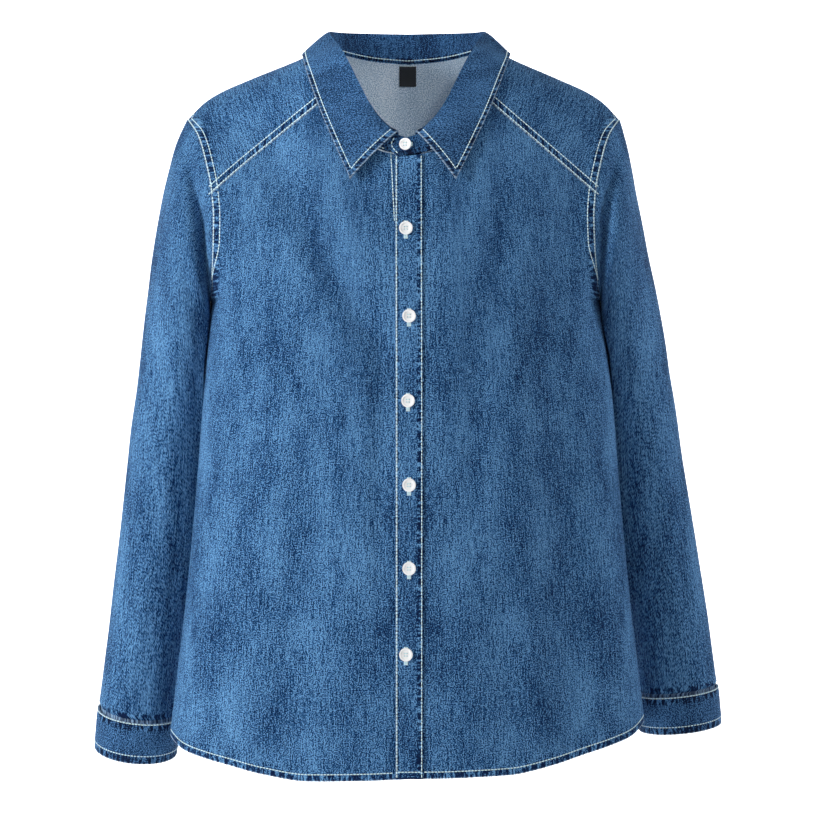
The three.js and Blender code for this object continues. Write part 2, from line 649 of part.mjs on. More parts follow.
// The collar's fall turns over the stand and comes down to lie on the shoulders and fronts
function fallSheet() {
  const last = COLLAR.length - 1;
  const start = root(0, 1, (row) => collar.foldX(row) - LEAF_INSET);
  const reach = last - start;
  const across = LEAF_ACROSS;
  return grid(across.length - 1, COLLAR_GRID.along, (v, u, index) => {
    const share = across[index];
    const step = lerp(-reach, reach, u);
    const side = step < 0 ? -1 : 1;
    const row = last - Math.abs(step);
    const outer = ((row - start) / reach) * last;
    const fold = foldPoint(side, row);
    const shift = TIP_SHIFT * (1 - outer / last);
    const edge = vector(side * collar.edgeX(outer), collar.edgeY(outer), collar.edgeZ(outer));
    onBody(edge, LEAF_LIFT);
    edge.x += shift;
    const point = fold.clone().lerp(edge, share);
    const away = awayFromNeck(point);
    point.addScaledVector(away, LEAF_ROLL * Math.sin(Math.PI * share ** 0.5) - (index ? 0 : 1));
    return onBody(point, LEAF_LIFT);
  });
}

// Moves a point out until it lies at least one lift above the body's cloth
function onBody(point, lift) {
  const facing = point.y < 0 ? FRONT : BACK;
  const beside = Math.abs(point.x) < halfWidth(point.z) ? bodyDepth(facing, point.x, point.z) + lift : 0;
  const below = point.z - SLOPE_LIFT * lift;
  const above = Math.abs(point.x) < halfWidth(below) ? bodyDepth(facing, point.x, below) : 0;
  point.y = facing * Math.max(Math.abs(point.y), beside, above);
  return point;
}

function labelSheet() {
  const { width, height, wall: thick, top, lift } = LABEL;
  return mirrored(grid(2, 2, (v, u) => {
    const point = bodyPoint(BACK, lerp(-width / 2, width / 2, u), top - height * v);
    point.y -= lift + thick;
    return point;
  }));
}

// A button: a round disc with a raised rim, its back on one point and its face turned one way
function button(name, radius, point, facing) {
  const { wall: thick, rim, hollow, edge } = BUTTON;
  const profile = [
    [0, 0], [radius - edge, 0], [radius, thick * 0.4], [radius - edge / 2, thick],
    [radius - rim, thick], [radius - rim - edge, thick - hollow], [0, thick - hollow],
  ].map(([across, up]) => new THREE.Vector2(across, up));
  const geometry = new THREE.LatheGeometry(profile, DISC_SIDES);
  const mesh = new THREE.Mesh(geometry, WHITE);
  mesh.name = name;
  mesh.quaternion.setFromUnitVectors(vector(0, 1, 0), facing);
  mesh.position.copy(point).addScaledVector(facing, SEAM);
  return mesh;
}

// The way a surface faces, from two steps along it
function facingOf(pointAt, outward) {
  const middle = pointAt(0, 0);
  const across = pointAt(1, 0).sub(middle);
  const along = pointAt(0, 1).sub(middle);
  const normal = across.cross(along).normalize();
  return normal.dot(outward) < 0 ? normal.negate() : normal;
}

function frontButtons() {
  return FRONT_BUTTONS.map(({ x, z }, i) => {
    const at = (dx, dz) => bodyPoint(FRONT, x + 2 * dx, z + 2 * dz, CLOTH + 2 * SEAM);
    const facing = facingOf(at, vector(0, -1, 0));
    return button(`placket_button_${i + 1}`, BUTTON.radius, at(0, 0), facing);
  });
}

function collarButton() {
  const { x, rise } = COLLAR_BUTTON;
  const at = (dx, dz) => {
    const row = Math.abs(x + 2 * dx) / COLLAR[1].neckX;
    const low = neckPoint(Math.sign(x + 2 * dx), row);
    return low.lerp(foldPoint(Math.sign(x + 2 * dx), row), rise + 0.1 * dz);
  };
  const facing = facingOf(at, vector(0, -1, 0));
  const lift = DOUBLE / 2 + SEAM;
  return button('collar_button', COLLAR_BUTTON.radius, at(0, 0).addScaledVector(facing, lift), facing);
}

function cuffButton(arm, name) {
  const { row, down: rowStep, turn: turnStep, clear } = CUFF_BUTTON;
  const lift = (CUFF.wall + 2 * SEAM) * clear;
  const at = (turn, down) => (
    sleevePoint(arm, row + rowStep * down, CUFF.lapMiddle + turnStep * turn, lift)
  );
  const middle = sleevePoint(arm, row, CUFF.lapMiddle, 0);
  const facing = facingOf(at, at(0, 0).sub(middle));
  return button(name, CUFF_BUTTON.radius, at(0, 0), facing);
}

const shirt = new THREE.Group();
shirt.add(panelWall('front_right', rightFront(), DENIM));
shirt.add(panelWall('front_left', leftFront(), DENIM));
shirt.add(wall('placket', placket(), CLOTH, DENIM));
shirt.add(wall('yoke', joined([yokeFront(-1), yokeFront(1), yokeBack()]), CLOTH, DENIM));
shirt.add(panelWall('back', mirrored(backPanel()), DENIM));
for (const [name, arm] of Object.entries(ARMS)) {
  shirt.add(wall(`sleeve_${name}`, sleeveSheet(arm), CLOTH, DENIM));
  shirt.add(wall(`cuff_${name}`, cuffSheet(arm), CUFF.wall, DENIM));
  shirt.add(cuffButton(arm, `cuff_button_${name}`));
}
shirt.add(wall('collar_stand', standSheet(), DOUBLE, DENIM_DARK));
shirt.add(wall('collar_fall', fallSheet(), DOUBLE, DENIM_DARK));
shirt.add(wall('neck_label', labelSheet(), LABEL.wall, BLACK));
shirt.add(...frontButtons(), collarButton());

export default shirt;
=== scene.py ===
import math

import bpy
import numpy as np
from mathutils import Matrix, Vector


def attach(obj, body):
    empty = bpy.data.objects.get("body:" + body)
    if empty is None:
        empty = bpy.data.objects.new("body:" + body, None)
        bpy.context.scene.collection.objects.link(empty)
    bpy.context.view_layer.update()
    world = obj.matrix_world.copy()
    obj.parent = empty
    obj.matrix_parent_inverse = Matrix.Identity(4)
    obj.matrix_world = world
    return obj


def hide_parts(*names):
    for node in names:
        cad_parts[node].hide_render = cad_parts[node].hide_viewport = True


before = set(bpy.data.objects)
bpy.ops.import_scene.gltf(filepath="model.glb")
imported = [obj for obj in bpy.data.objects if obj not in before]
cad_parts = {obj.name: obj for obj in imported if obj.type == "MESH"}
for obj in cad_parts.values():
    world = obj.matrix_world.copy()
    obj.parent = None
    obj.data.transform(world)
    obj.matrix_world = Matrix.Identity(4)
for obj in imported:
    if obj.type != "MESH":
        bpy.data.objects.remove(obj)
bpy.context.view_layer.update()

# A long-sleeved denim shirt with a pointed collar, buttoned up and filled out, with nothing inside.
# Places here are millimetres, and a mesh is made in metres. The front faces -Y, and the left
# sleeve lies towards +X.

bl_info = {
    "name": "Denim Shirt",
    "version": (1, 0, 0),
    "blender": (4, 5, 0),
    "location": "View3D > Sidebar > Shirt",
    "description": "A buttoned denim shirt with its topstitching, buttons and label",
    "category": "Add Mesh",
}

MM = 0.001
ROOT = "root"
FRONT = -1
BACK = 1
RIGHT = -1
LEFT = 1


# Measures of the garment

def table(names, rows):
    """A short table as named columns."""
    return dict(zip(names.split(), np.array(rows, float).T))


CLOTH = 1.2            # one layer of washed denim
DOUBLE = 1.7           # the collar, two layers turned and pressed
SEAM = 0.3             # gap between layers that lie on each other
HEM_TURN = 8.0
HEM_EXTRA = 0.8
BAND = 7.0             # between the two rows of a felled seam
EDGE_STITCH = 1.3      # from an edge to the row that holds it
ROWS_MEET = -222.0     # where the armhole's two rows run together in front

SHOULDER_Z = -60.0
ARMPIT_Z = -240.0
NECK_SIDE_X = 80.0
HEM_TILT = 0.03
ARMHOLE_Z, ARMHOLE_HALF, ARMHOLE_DEPTH = -150.0, 90.0, 65.0

PLACKET_LEFT, PLACKET_RIGHT = -12.0, 14.5
STAND_LAP = 13.0
STAND_BULGE, STAND_FOOT, STAND_SHOULDER = 1.8, 3.2, 3.0
TAB_REACH = 7.0        # how much further its lapping end reaches above its foot
LEAF_INSET = 8.2
LEAF_LIFT = 3.4
LEAF_ROLL = 6.0
SLOPE_LIFT = 1.3
NECK_MIDDLE_Y = -12.0
STAND_SEAM = 1.1
STAND_DROP = 4.2

YOKE_X, YOKE_Z, YOKE_SLOPE = 92.5, -58.0, 0.84
YOKE_BACK_Z = -98.0
UNDER_YOKE = 6.0       # how far a panel runs on under the yoke

LABEL_WIDTH, LABEL_HEIGHT, LABEL_WALL, LABEL_LIFT = 17.0, 19.0, 1.0, 2.6

# Half width and depths of the body, how deep its side is, and how flat and how square it is
BODY = table("z half front back brim power round", [
    (16, 76, 38, 46, 0, 1.5, 1.6),
    (2, 103, 60, 64, 0, 1.5, 1.6),
    (-20, 155, 70, 77, 0, 1.6, 1.6),
    (-33, 184, 76, 84, 0, 1.7, 1.6),
    (-42, 198, 80, 88, 0, 1.8, 1.6),
    (-53, 209.5, 84, 92, 0, 1.9, 1.6),
    (-60, 215.5, 87, 94, 3, 1.9, 1.55),
    (-80, 203, 93, 98, 28, 2, 1.45),
    (-107, 194.5, 101, 103, 48, 2.1, 1.35),
    (-134, 189, 106.5, 107, 57, 2.2, 1.35),
    (-160, 187, 110.5, 109, 58, 2.2, 1.35),
    (-190, 188, 114, 110, 50, 2.2, 1.4),
    (-227, 191, 116.5, 110, 34, 2.2, 1.6),
    (-240, 194, 117, 109, 28, 2.2, 1.7),
    (-290, 199, 117, 106, 9, 2.2, 1.95),
    (-340, 204.5, 116, 103, 0, 2.2, 2),
    (-440, 212.5, 113, 100, 0, 2.2, 2),
    (-540, 222, 110, 99, 0, 2.2, 2),
    (-640, 234, 108, 100, 0, 2.2, 2),
    (-730, 243, 107, 101, 0, 2.2, 2),
])
EDGE_REACH = 14
RIDGE_ROWS = 7         # rows down to the shoulder point, above the armhole

# Lower edge, by share of the half width
HEM = table("share front back", [
    (0, -706, -722), (0.17, -706.8, -721), (0.4, -706.5, -716), (0.585, -699.6, -706),
    (0.73, -691, -696), (0.835, -685, -688), (0.93, -678, -679), (1, -667, -667),
])

# Neckline and the collar above it, from the centre front round to the centre back
COLLAR = table("neck_x neck_z fold_x fold_y fold_z edge_x edge_y edge_z", [
    (0, -104, 0, -99, -82, 51.5, -112, -127),
    (22, -100, 14, -97.5, -77, 53, -110, -123),
    (42, -88.5, 26, -92, -66, 61, -104, -106),
    (57, -69, 38, -81, -49, 71, -94, -84),
    (67, -46, 47.5, -66, -30, 81, -82, -61),
    (74, -22, 57, -45, -10, 91, -60, -35),
    (79, 3, 68.5, -20, 12, 99, -36, -12),
    (80, 14, 79, 10, 29, 104.5, 5, 6),
    (77, 12, 76, 38, 33, 96, 42, -2),
    (60, 8.5, 62, 56, 34, 73, 69, -5),
    (35, 5, 36, 70, 35, 41, 84, -6),
    (0, 3, 0, 76, 35, 0, 89, -6),
])
NECK_SIDE_ROW = 7
LAST_ROW = len(COLLAR["neck_x"]) - 1
FOLD_SHIFT = -1.0
TIP_SHIFT = -5.0

# Sleeve: outer and inner outline, how far back the middle lies, half the depth and a shift
SLEEVE = table("out_x out_z in_x in_z mid_y depth shift", [
    (215.5, -60, 193.5, -240, 0, 65, 0),
    (224.5, -82, 194, -245, 3, 67, -2),
    (231.5, -109, 194, -252, 8, 69, -3),
    (238, -137, 193, -262, 14, 70, -4),
    (244, -165, 192, -275, 20, 69.5, -4),
    (249.6, -193, 191, -291, 27, 68, -4),
    (258, -235, 190, -316, 40, 64, -3.5),
    (265.4, -277, 190, -340, 51, 60, -3.5),
    (271.6, -320, 192, -368, 59, 57, -4),
    (278.5, -362, 195, -398, 63, 55, -4),
    (284, -405, 199, -432, 65, 53.5, -3.5),
    (291.7, -462, 206, -482, 65, 51.5, -2),
    (299.4, -519, 215, -534, 63, 49, -1),
    (306.8, -576, 224, -587, 61, 45.5, 0),
    (314, -634, 233, -643, 58, 41.5, 0),
    (315, -641, 233.5, -650, 57.5, 41, 0),
    (318.3, -679.5, 237.5, -688, 57, 40.5, 0),
])
SLEEVE_LAST = len(SLEEVE["out_x"]) - 1
CUFF_START = 15
CUFF_WALL, CUFF_TUCK, CUFF_SEAT = 1.8, 7.0, 2.8
CUFF_LAP_MIDDLE, CUFF_TURN = 250.0, 396.0
ARM_GAP, UNDERARM_GAP, BODY_GAP = 0.8, 0.4, 2.5
DROP = {RIGHT: 12.0, LEFT: -12.0}
DIP = {RIGHT: 10.0, LEFT: 4.0}

LEAN = table("z shift", [
    (40, -1), (0, -2.5), (-60, -4.5), (-190, -4), (-240, -2.5), (-350, 0), (-760, 0),
])
LEAN_REACH = 150.0
FOLD_FADE = 0.12

# Grains of the cloth, wide and long: weft specks, slubs, long streaks, clouds of the wash, puckers
SPECK_MM, SLUB_MM, STREAK_MM = (1.1, 1.25), (1.2, 6.0), (1.8, 26.0)
CLOUD_MM, PUCKER_MM = (40.0, 90.0), (2.7, 9.0)

# Soft folds of the body: place, half length, half width, turn from upright and depth
FOLDS = table("side x z long wide turn depth", [
    (-1, -95, -165, 120, 22, -28, 4.5),
    (-1, -48, -255, 95, 15, -30, 3.5),
    (-1, -150, -330, 150, 20, 4, 3),
    (-1, -105, -520, 190, 26, 3, 4),
    (-1, -25, -390, 160, 12, 0, 3.5),
    (-1, 155, -200, 110, 20, 18, 5),
    (-1, 150, -420, 210, 24, -3, 6),
    (-1, 70, -330, 170, 22, 8, 3),
    (-1, 95, -590, 130, 24, -4, 4),
    (-1, 160, -560, 170, 45, -3, 9),
    (1, -110, -230, 130, 22, -20, 5),
    (1, 120, -250, 140, 24, 18, 5),
    (1, -70, -480, 210, 30, 4, 5),
    (1, 80, -520, 190, 26, -6, 5),
    (1, 5, -180, 110, 18, 0, 3),
])

# Soft folds of the sleeves: row of the outline, angle round it, half length, half width, depth
SLEEVE_FOLDS = table("row angle long wide depth", [
    (3, 100, 3.5, 26, 7), (6.5, 60, 3, 22, 3.5), (9, 110, 3, 24, 3.5), (10.5, 45, 1.6, 26, 3),
    (12.5, 95, 2.2, 22, 3), (13.5, 140, 1.4, 24, 2.5), (4, 250, 3, 26, 6), (8, 290, 3, 24, 4),
    (11, 235, 2, 26, 4), (13.3, 280, 1.4, 22, 3), (0.75, 95, 0.5, 55, 11), (2.4, 108, 0.9, 45, -6), (6.2, 128, 2.6, 14, 4),
    (10.2, 78, 1.1, 12, 3), (12.2, 60, 0.9, 12, 2.5), (11.6, 122, 0.9, 12, 2.5),
])

# Buttons: centre on the placket, and the radius of the smaller ones
FRONT_BUTTONS = [(-2, -175), (1, -259.5), (0, -341), (1, -422), (1, -502.5), (-2, -585.5)]
BUTTON_RADIUS, SMALL_BUTTON_RADIUS, BUTTON_WALL = 6.5, 5.8, 2.6


# Curves and surfaces

def curve(columns, name, against=None, rows=slice(None)):
    """A smooth curve through one column of a table that never overshoots its rows."""
    v = columns[name][rows]
    t = columns[against][rows] if against else np.arange(len(v), dtype=float)
    if t[0] > t[-1]:
        t, v = t[::-1], v[::-1]
    step = np.diff(t)
    rise = np.diff(v) / step
    slope = np.concatenate([rise[:1], np.zeros(len(t) - 2), rise[-1:]])
    a, b = rise[:-1], rise[1:]
    same = a * b > 0
    wide, near = step[1:][same], step[:-1][same]
    a, b = a[same], b[same]
    slope[1:-1][same] = 3 * (wide + near) / ((2 * wide + near) / a + (wide + 2 * near) / b)

    def at(place):
        x = np.clip(place, t[0], t[-1])
        i = np.clip(np.searchsorted(t, x, side="right") - 1, 0, len(t) - 2)
        h, u = step[i], (x - t[i]) / step[i]
        return ((2 * u**3 - 3 * u**2 + 1) * v[i] + (u**3 - 2 * u**2 + u) * h * slope[i]
                + (3 * u**2 - 2 * u**3) * v[i + 1] + (u**3 - u**2) * h * slope[i + 1])
    return at


ridge = curve(BODY, "half", "z", slice(0, RIDGE_ROWS))
flank = curve(BODY, "half", "z", slice(RIDGE_ROWS - 1, None))
body = {name: curve(BODY, name, "z") for name in ("front", "back", "brim", "power", "round")}
hem = {FRONT: curve(HEM, "front", "share"), BACK: curve(HEM, "back", "share")}
collar = {name: curve(COLLAR, name) for name in COLLAR}
sleeve = {name: curve(SLEEVE, name) for name in SLEEVE}
lean = curve(LEAN, "shift", "z")
neck_front = curve(COLLAR, "neck_z", "neck_x", slice(0, NECK_SIDE_ROW + 1))
neck_back = curve(COLLAR, "neck_z", "neck_x", slice(NECK_SIDE_ROW, None))
neck_front_x = curve(COLLAR, "neck_x", "neck_z", slice(0, NECK_SIDE_ROW + 1))


def lerp(a, b, share):
    return a + (b - a) * share


def ease(share):
    """From 0 to 1 with soft ends."""
    x = np.clip(share, 0, 1)
    return x * x * (3 - 2 * x)


def root(low, high, above, shape=()):
    """Where a rising function of arrays passes zero."""
    a, b = np.full(shape, float(low)), np.full(shape, float(high))
    for _ in range(40):
        middle = (a + b) / 2
        over = above(middle) > 0
        a, b = np.where(over, a, middle), np.where(over, middle, b)
    return (a + b) / 2


def half_width(z):
    return np.where(z > SHOULDER_Z, ridge(z), flank(z))


def ridge_z(x):
    return -root(-16, -SHOULDER_Z, lambda down: ridge(-down) - x, np.shape(x))


def seam_z(x):
    """Height of the slanting seam between front and yoke."""
    return YOKE_Z - YOKE_SLOPE * (x - YOKE_X)


def body_depth(facing, x, z):
    share = np.minimum(np.abs(x) / half_width(z), 1)
    brim = body["brim"](z)
    full = np.where(facing < 0, body["front"](z), body["back"](z))
    bulge = (full - brim) * (1 - share ** body["power"](z)) ** (1 / body["round"](z))
    up = np.clip((z - ARMHOLE_Z) / ARMHOLE_HALF, -1, 1)
    armhole = ARMHOLE_DEPTH * np.sqrt(1 - up * up)
    return brim + bulge + (armhole - brim) * share**EDGE_REACH


def fold_depth(facing, x, z):
    fade = np.clip((1 - np.abs(x) / half_width(z)) / FOLD_FADE, 0, 1)
    total = 0
    for side, mid_x, mid_z, long, wide, turn, depth in zip(*FOLDS.values()):
        c, s = math.cos(math.radians(turn)), math.sin(math.radians(turn))
        along = (z - mid_z) * c + (x - mid_x) * s
        across = (x - mid_x) * c - (z - mid_z) * s
        here = depth * np.exp(-((along / long) ** 2) - (across / wide) ** 2)
        total = total + np.where(facing == side, here, 0)
    return total * fade


def body_point(facing, x, z, lift=0):
    """A point of the body's cloth, moved out from it by lift."""
    x, z = np.broadcast_arrays(np.asarray(x, float), np.asarray(z, float))
    depth = body_depth(facing, x, z) - fold_depth(facing, x, z) + lift
    shift = lean(z) * np.clip(np.abs(x) / LEAN_REACH, 0, 1)
    return np.stack(np.broadcast_arrays(x + shift, facing * depth, z), axis=-1)


def clear_of_body(p, away):
    """Points outside the body at least a little way from its cloth."""
    x, y, z = p[..., 0], p[..., 1], p[..., 2]

    def inside(k):
        sx, sy = np.abs(x * k) - away, np.abs(y * k)
        deep = body_depth(np.where(y < 0, FRONT, BACK), np.maximum(sx, 0), z) + away
        return (sx < half_width(z)) & (deep > sy)
    k = np.where(inside(1), root(1, 1.5, lambda k: 0.5 - inside(k), x.shape), 1)
    high = z > ARMPIT_Z
    out = np.sign(x) * np.maximum(np.abs(x), half_width(z) + away)
    return np.stack([np.where(high, out, x * k), np.where(high, y, y * k), z], axis=-1)


def sleeve_fold(row, angle):
    total = 0
    for mid, turn, long, wide, depth in zip(*SLEEVE_FOLDS.values()):
        off = (angle - turn + 540) % 360 - 180
        total = total + depth * np.exp(-(((row - mid) / long) ** 2) - (off / wide) ** 2)
    return total


def sleeve_point(side, row, angle, lift):
    """A point of a sleeve or cuff. Angle 0 is its outer side, 90 its front, 180 lies to the body."""
    row, angle, lift = np.broadcast_arrays(*(np.asarray(v, float) for v in (row, angle, lift)))
    c, s = np.cos(np.radians(angle)), np.sin(np.radians(angle))
    at = {name: line(row) for name, line in sleeve.items()}
    dx, dz = at["out_x"] - at["in_x"], at["out_z"] - at["in_z"]
    half = np.hypot(dx, dz) / 2
    x = (at["out_x"] + at["in_x"]) / 2 + dx / (2 * half) * (half + lift) * c
    z = (at["out_z"] + at["in_z"]) / 2 + dz / (2 * half) * (half + lift) * c
    y = at["mid_y"] - (at["depth"] + lift) * s
    from_loop = np.maximum(1 - row / 4, 0) ** 2
    loop_z = ARMHOLE_Z + ARMHOLE_HALF * c
    out_x, in_x = SLEEVE["out_x"][0], SLEEVE["in_x"][0]
    x = x + from_loop * (half_width(loop_z) + ARM_GAP - (out_x + in_x) / 2 - (out_x - in_x) / 2 * c)
    down = np.clip((row - 2) / (SLEEVE_LAST - 2), 0, 1)
    z = z - DROP[side] * down**1.3 - DIP[side] * s * down**2
    shift = at["shift"] * lerp(1, (1 + c) / 2, np.clip((6.5 - row) / 3, 0, 1))
    p = np.stack([side * x + shift, y, z], axis=-1)
    free = clear_of_body(p, lerp(UNDERARM_GAP, BODY_GAP, ease((row - 4) / 2)))
    p = np.where((row > 0)[..., None], free, p)
    p[..., 0] += lean(p[..., 2])
    return p


def away_from_neck(p):
    out = np.stack([p[..., 0], p[..., 1] - NECK_MIDDLE_Y, 0 * p[..., 2]], axis=-1)
    return out / np.linalg.norm(out, axis=-1, keepdims=True)


def collar_side(step):
    """Steps run round the collar from one front end to the other, with 0 at the back."""
    side = np.where(step < 0, -1.0, 1.0)
    row = LAST_ROW - np.abs(step)
    return np.where(row >= 0, side, -side), np.abs(row)


def neck_point(step):
    side, row = collar_side(step)
    facing = np.where(row < NECK_SIDE_ROW, FRONT, BACK)
    return body_point(facing, side * collar["neck_x"](row), collar["neck_z"](row))


def fold_point(step):
    side, row = collar_side(step)
    return np.stack([side * collar["fold_x"](row) + FOLD_SHIFT,
                     collar["fold_y"](row), collar["fold_z"](row)], axis=-1)


STAND_REACH = LAST_ROW + STAND_LAP / COLLAR["neck_x"][1]


def stand_point(u, v, lift=0):
    """The stand from its lower edge, v = 0, to its top, wound on itself at the front.
    Its ends are rounded: they bulge in their upper half and draw in at the foot."""
    u, v = np.broadcast_arrays(np.asarray(u, float), np.asarray(v, float))
    bulge = (STAND_BULGE * np.sin(math.pi * v**0.8) - STAND_FOOT * (1 - v) ** 3
             - STAND_SHOULDER * v**6) / COLLAR["neck_x"][1]
    reach = STAND_REACH + bulge * np.abs(2 * u - 1) ** 8
    step = (2 * u - 1) * reach
    past = np.clip(np.abs(step) - LAST_ROW, 0, 1)
    low, high = neck_point(step), fold_point(step)
    height = np.linalg.norm(high - low, axis=-1)
    share = lerp(STAND_SEAM, height - STAND_DROP, v) / height
    p = low + (high - low) * share[..., None]
    # Past the centre front the foot drops over the top of the placket
    foot = (1 - v) ** 1.5 * ease(2.5 * past)
    p[..., 2] -= 2.6 * foot * (collar["neck_z"](past) - COLLAR["neck_z"][0])
    p[..., 0] -= np.sign(step) * TAB_REACH * ease(v / 0.6) * past * COLLAR["neck_x"][1] / STAND_LAP
    lap = step / STAND_REACH * (DOUBLE / 2 + SEAM) + 2.6 * foot * np.sign(step) + lift
    ahead = np.clip((NECK_SIDE_ROW - (LAST_ROW - np.abs(step))) / 3, 0, 1)
    flat = p * np.stack([1 - 0.8 * ahead, np.ones_like(ahead), np.ones_like(ahead)], axis=-1)
    return p + away_from_neck(flat) * lap[..., None]


LEAF_START = float(root(0, 1, lambda row: collar["fold_x"](row) - LEAF_INSET))
LEAF_REACH = LAST_ROW - LEAF_START


def on_body(p, lift):
    """Moves points out until they lie at least one lift above the body's cloth."""
    x, y, z = p[..., 0], p[..., 1], p[..., 2]
    facing = np.where(y < 0, FRONT, BACK)
    beside = np.where(np.abs(x) < half_width(z), body_depth(facing, x, z) + lift, 0)
    below = z - SLOPE_LIFT * lift
    above = np.where(np.abs(x) < half_width(below), body_depth(facing, x, below), 0)
    deep = np.maximum(np.maximum(np.abs(y), beside), above)
    return np.stack([x, facing * deep, z], axis=-1)


def fall_point(u, v, lift=0):
    """The fall from the fold, v = 0, to its outer edge. Below 0 it turns down inside the stand."""
    u, v = np.broadcast_arrays(np.asarray(u, float), np.asarray(v, float))
    step = lerp(-LEAF_REACH, LEAF_REACH, u)
    side, row = np.where(step < 0, -1.0, 1.0), LAST_ROW - np.abs(step)
    outer = (row - LEAF_START) / LEAF_REACH * LAST_ROW
    fold = fold_point(step)
    edge = np.stack([side * collar["edge_x"](outer), collar["edge_y"](outer),
                     collar["edge_z"](outer)], axis=-1)
    edge = on_body(edge, LEAF_LIFT)
    edge[..., 0] += TIP_SHIFT * (1 - outer / LAST_ROW)
    share = np.clip(v, 0, 1)
    p = fold + (edge - fold) * share[..., None]
    # The leaves round out in front and behind, and run straight down at the neck's sides
    roll = LEAF_ROLL * lerp(0.25, 1, ease(np.abs(row - NECK_SIDE_ROW) / 3))
    roll = roll * np.sin(math.pi * share**0.5) - np.clip(1 - v / 0.02, 0, 1)
    inner = np.clip(-v, 0, 1)
    p = p + away_from_neck(p) * (roll - 1.6 * inner + lift)[..., None]
    p[..., 2] -= 8 * np.maximum(inner, 0) ** 1.5
    return np.where((v >= 0)[..., None], on_body(p, LEAF_LIFT + lift), p)


def outward_normals(surface, a, b, step_a, step_b, outward):
    """The way a surface faces at each place, on the side of outward."""
    across = surface(a + step_a, b) - surface(a - step_a, b)
    along = surface(a, b + step_b) - surface(a, b - step_b)
    n = np.cross(across, along)
    n /= np.maximum(np.linalg.norm(n, axis=-1, keepdims=True), 1e-9)
    return np.where((n * outward).sum(-1, keepdims=True) < 0, -n, n)


# Materials

def linear(code):
    """An sRGB hex colour as Blender's linear one, opaque."""
    parts = [int(code[i:i + 2], 16) / 255 for i in (1, 3, 5)]
    return [c / 12.92 if c <= 0.04045 else ((c + 0.055) / 1.055) ** 2.4 for c in parts] + [1.0]


def add_node(tree, kind, settings=None, links=None, **inputs):
    """Adds a node, sets its options and sockets, and links outputs of other nodes to it."""
    node = tree.nodes.new(kind)
    for name, value in (settings or {}).items():
        setattr(node, name, value)
    for name, value in inputs.items():
        key = int(name[1:]) if name[0] == "i" and name[1:].isdigit() else name.replace("_", " ")
        node.inputs[key].default_value = value
    for key, output in (links or {}).items():
        tree.links.new(output, node.inputs[key])
    return node


def new_material(name):
    made = bpy.data.materials.new(name)
    made.use_nodes = True
    tree = made.node_tree
    tree.nodes.clear()
    return made, tree


def ramp(node, stops):
    """Sets a colour ramp's stops."""
    elements = node.color_ramp.elements
    while len(elements) < len(stops):
        elements.new(1)
    for element, (place, colour) in zip(elements, stops):
        element.position = place
        element.color = (*colour[:3], 1)


